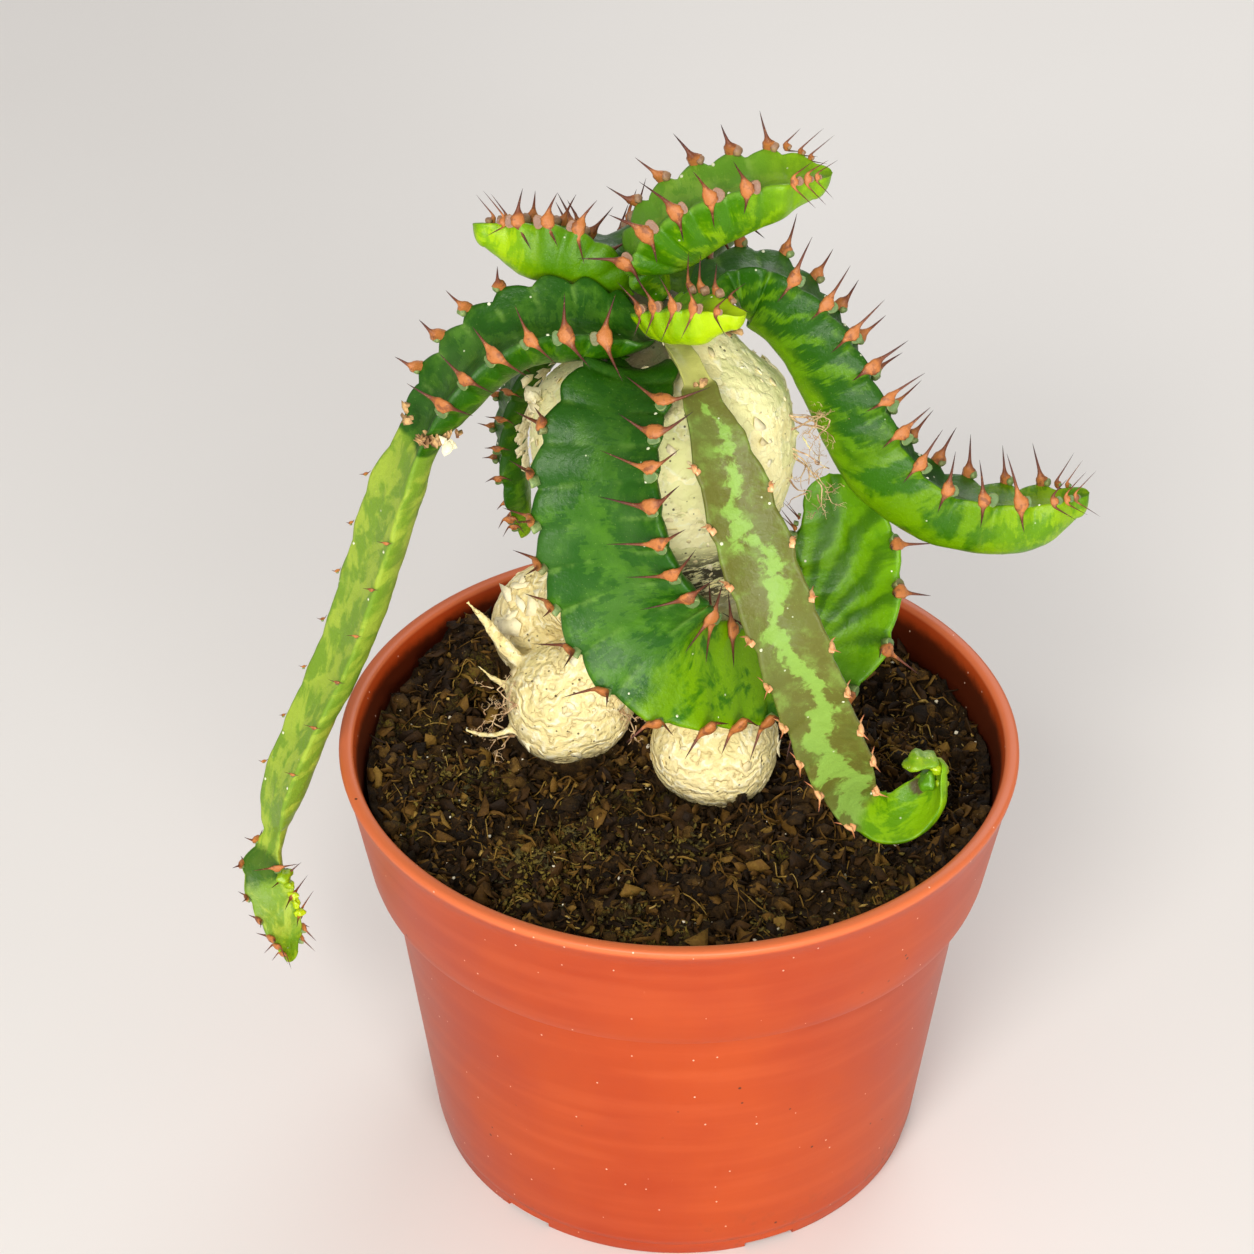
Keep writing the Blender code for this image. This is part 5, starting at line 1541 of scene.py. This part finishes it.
def cutter(name, shape, placed, **sizes):
    """A body to cut the pot with: a shape of bmesh in millimetres, placed by a matrix."""
    bm = bmesh.new()
    shape(bm, matrix=Matrix.Scale(MM, 4) @ placed, **sizes)
    bmesh.ops.recalc_face_normals(bm, faces=bm.faces)
    mesh = bpy.data.meshes.new(name)
    bm.to_mesh(mesh)
    bm.free()
    return linked(name, mesh)


def taper(low_radius, low, high_radius, high, heights):
    """A straight wall's radius at these heights."""
    return [(low_radius + (high_radius - low_radius) * (h - low) / (high - low), h)
            for h in heights]


def pot_profile():
    """From the middle of the floor up the inside, over the lip and down the outside."""
    body_top = COLLAR_FOOT_RADIUS - COLLAR_STEP
    foot = COLLAR_FOOT_RADIUS + 0.1

    def inside(heights):
        return [(inner_radius(h), h) for h in heights]

    lip = [(0.02 - LIP_WIDTH, -0.8), (0.2 - LIP_WIDTH, -0.35), (0.6 - LIP_WIDTH, -0.08),
           (1.1 - LIP_WIDTH, 0.0), (-0.75, 0.0), (-0.3, -0.12), (-0.06, -0.4), (0.0, -0.8),
           (-0.18, -1.6), (-0.5, -2.1)]
    ledge = [(body_top - WALL + 0.3, LEDGE - 0.2), (COLLAR_FOOT_RADIUS - WALL - 0.6, LEDGE),
             (COLLAR_FOOT_RADIUS - WALL, LEDGE + 0.6)]
    under_collar = [(foot - 0.02, SHOULDER + 0.7), (foot - 0.25, SHOULDER + 0.2),
                    (foot - 0.7, SHOULDER), (body_top + 0.25, SHOULDER),
                    (body_top, SHOULDER - 0.3)]
    rounded = [(0.45, 3.3), (0.1, 3.0), (0.0, 2.6), (-0.2, 0.5), (-0.5, 0.1), (-0.9, 0.0)]
    return ([(0.0, FLOOR), (inner_radius(FLOOR) - 1.2, FLOOR),
             (inner_radius(FLOOR) - 0.3, FLOOR + 0.3)] + inside([FLOOR + 1.2])
            + inside(np.linspace(8, LEDGE - 1.0, 6)) + ledge
            + inside(np.linspace(LEDGE + 3, POT_HEIGHT - 1.4, 8))
            + [(RIM_RADIUS + out, POT_HEIGHT + up) for out, up in lip]
            + taper(foot, SHOULDER, RIM_RADIUS - 0.3, POT_HEIGHT,
                    np.linspace(POT_HEIGHT - 4.0, SHOULDER + 2.0, 6)) + under_collar
            + taper(BASE_RADIUS + 0.5, 3.0, body_top, SHOULDER, np.linspace(SHOULDER - 3.0, 4.4, 8))
            + [(BASE_RADIUS + out, up) for out, up in rounded] + [(0.0, 0.0)])


def pot_cutters():
    """A channel round the foot, with a notch out of it and a drain hole at each of its parts."""
    ring_outer = BASE_RADIUS - FOOT_WIDTH
    channel = [(PAD_RADIUS, CHANNEL_HEIGHT), (ring_outer, CHANNEL_HEIGHT), (ring_outer, -1.0),
               (PAD_RADIUS, -1.0)]
    cuts = [turned("cut_channel", channel, 96, True)]
    length = FOOT_WIDTH + 6.0
    for i in range(NOTCHES):
        angle = FIRST_NOTCH + 2 * math.pi * i / NOTCHES
        turn = Matrix.Rotation(angle, 4, "Z")
        notch = turn @ Matrix.Translation((ring_outer + length / 2 - 2.0, 0, 0)) @ Matrix.Diagonal(
            (length, NOTCH_WIDTH, CHANNEL_HEIGHT * 2, 1))
        cuts.append(cutter(f"cut_notch_{i}", bmesh.ops.create_cube, notch, size=1.0))
        drain = Matrix.Translation((DRAIN_RING * math.cos(angle), DRAIN_RING * math.sin(angle), 0))
        cuts.append(cutter(f"cut_drain_{i}", bmesh.ops.create_cone, drain, cap_ends=True,
                           segments=32, radius1=DRAIN_RADIUS, radius2=DRAIN_RADIUS,
                           depth=4 * FLOOR))
    return cuts


def pot_piece(looks):
    """The pot with a rounded lip, drain holes and foot channels."""
    pot = turned("pot_shell", pot_profile(), POT_SIDES)
    cuts = pot_cutters()
    group = bpy.data.collections.new("cuts")
    bpy.context.scene.collection.children.link(group)
    for cut in cuts:
        bpy.context.scene.collection.objects.unlink(cut)
        group.objects.link(cut)
    boolean = pot.modifiers.new("cut", "BOOLEAN")
    boolean.operation = "DIFFERENCE"
    boolean.operand_type = "COLLECTION"
    boolean.collection = group
    boolean.solver = "EXACT"
    mesh = baked(pot).data
    for cut in cuts:
        bpy.data.objects.remove(cut)
    bpy.data.collections.remove(group)
    # Marks for painted shade with dirt inside, a painted highlight on the lip's top and dirt on the
    # foot
    marks = {name: np.zeros(len(mesh.vertices)) for name in ("inside", "lip", "foot")}
    for vertex in mesh.vertices:
        radius = math.hypot(vertex.co.x, vertex.co.y) / MM
        height = vertex.co.z / MM
        if height > FLOOR - 0.5 and radius < inner_radius(min(height, POT_HEIGHT)) + 0.25:
            marks["inside"][vertex.index] = np.clip((POT_HEIGHT - 0.6 - height) / 4.0, 0, 1)
        elif height > POT_HEIGHT - 1.0:
            marks["lip"][vertex.index] = 1.0
        else:
            marks["foot"][vertex.index] = np.clip((11.0 - height) / 9.0, 0, 1)
    add_values(mesh, marks)
    mesh.shade_smooth()
    mesh.set_sharp_from_angle(angle=math.radians(38))
    mesh.materials.clear()
    mesh.materials.append(looks["pot"])
    dressed(pot, "pot", "pot")


# Stage

def area_light(name, place, size, power, colour):
    data = bpy.data.lights.new(name, "AREA")
    data.shape = "DISK"
    data.size = size
    data.energy = power
    data.color = colour
    lamp = linked(name, data)
    lamp.location = place
    aim = Vector(LIGHTS_AIM) - Vector(place)
    lamp.rotation_euler = aim.to_track_quat("-Z", "Y").to_euler()


def stage():
    """Pale floor, soft lights and the camera."""
    look = Look("pale_floor", 0.7)
    tones = look.mix(look.noise(0.004, 3.0, 0.5), (226, 222, 218), (234, 231, 228))
    look.put(look.shader.inputs["Base Color"], tones)
    mesh = bpy.data.meshes.new("floor")
    size = 3.0
    mesh.from_pydata([(-size, -size, 0), (size, -size, 0), (size, size, 0), (-size, size, 0)], [],
                     [(0, 1, 2, 3)])
    mesh.materials.append(look.material)
    linked("floor", mesh)
    bpy.context.scene.view_settings.view_transform = "Standard"
    world = bpy.data.worlds.new("soft_light")
    bpy.context.scene.world = world
    world.use_nodes = True
    background = world.node_tree.nodes["Background"]
    background.inputs["Color"].default_value = (1.0, 0.985, 0.97, 1.0)
    background.inputs["Strength"].default_value = 0.44
    for light in LIGHTS:
        area_light(*light)
    data = bpy.data.cameras.new("camera")
    data.lens = 100.478
    data.sensor_width = 36.0
    data.clip_start = 0.01
    data.clip_end = 20.0
    camera = linked("camera", data)
    camera.location = (-0.00915, -0.49447, 0.45652)
    camera.rotation_euler = (math.radians(54.766), 0.0, 0.0)
    bpy.context.scene.camera = camera


def main():
    looks = {kind: skin_look(kind) for kind in SKINS}
    looks["horn"] = horn_look("horn", (180, 110, 56), (114, 60, 34), (84, 40, 30), (38, 18, 18))
    looks["horn_stub"] = horn_look("horn_stub", (238, 178, 122), (228, 158, 104), (206, 128, 86),
                                   (160, 92, 66))
    looks.update({"bud_" + kind: bud_look(kind) for kind in BUD_COLOURS})
    looks["pearl"] = plain_grain_look("pearl", (190, 196, 150), (236, 236, 214), 0.4)
    looks["bract"] = plain_grain_look("dried_bract", (98, 56, 28), (214, 172, 112), 0.7, 0.5)
    looks["grit"] = plain_grain_look("grit", (190, 176, 146), (240, 232, 210), 0.7)
    looks["moss"] = plain_grain_look("moss", (50, 44, 8), (118, 98, 18), 0.8, 0.25)
    looks.update(root=root_look(), peel=peel_look(), twig=twig_look(), knob=knob_look(),
                 soil=soil_look(), litter=litter_look(), pot=pot_look())
    pot_piece(looks)
    soil_pieces(looks)
    points, normals, thin = caudex_pieces(looks)
    flakes(points, normals, thin, looks)
    dry_bits(looks)
    twigs(looks)
    for branch in BRANCHES:
        skin_piece(branch, looks)
        thorn_pieces(branch, looks)
    young_lumps(looks)
    stage()


main()
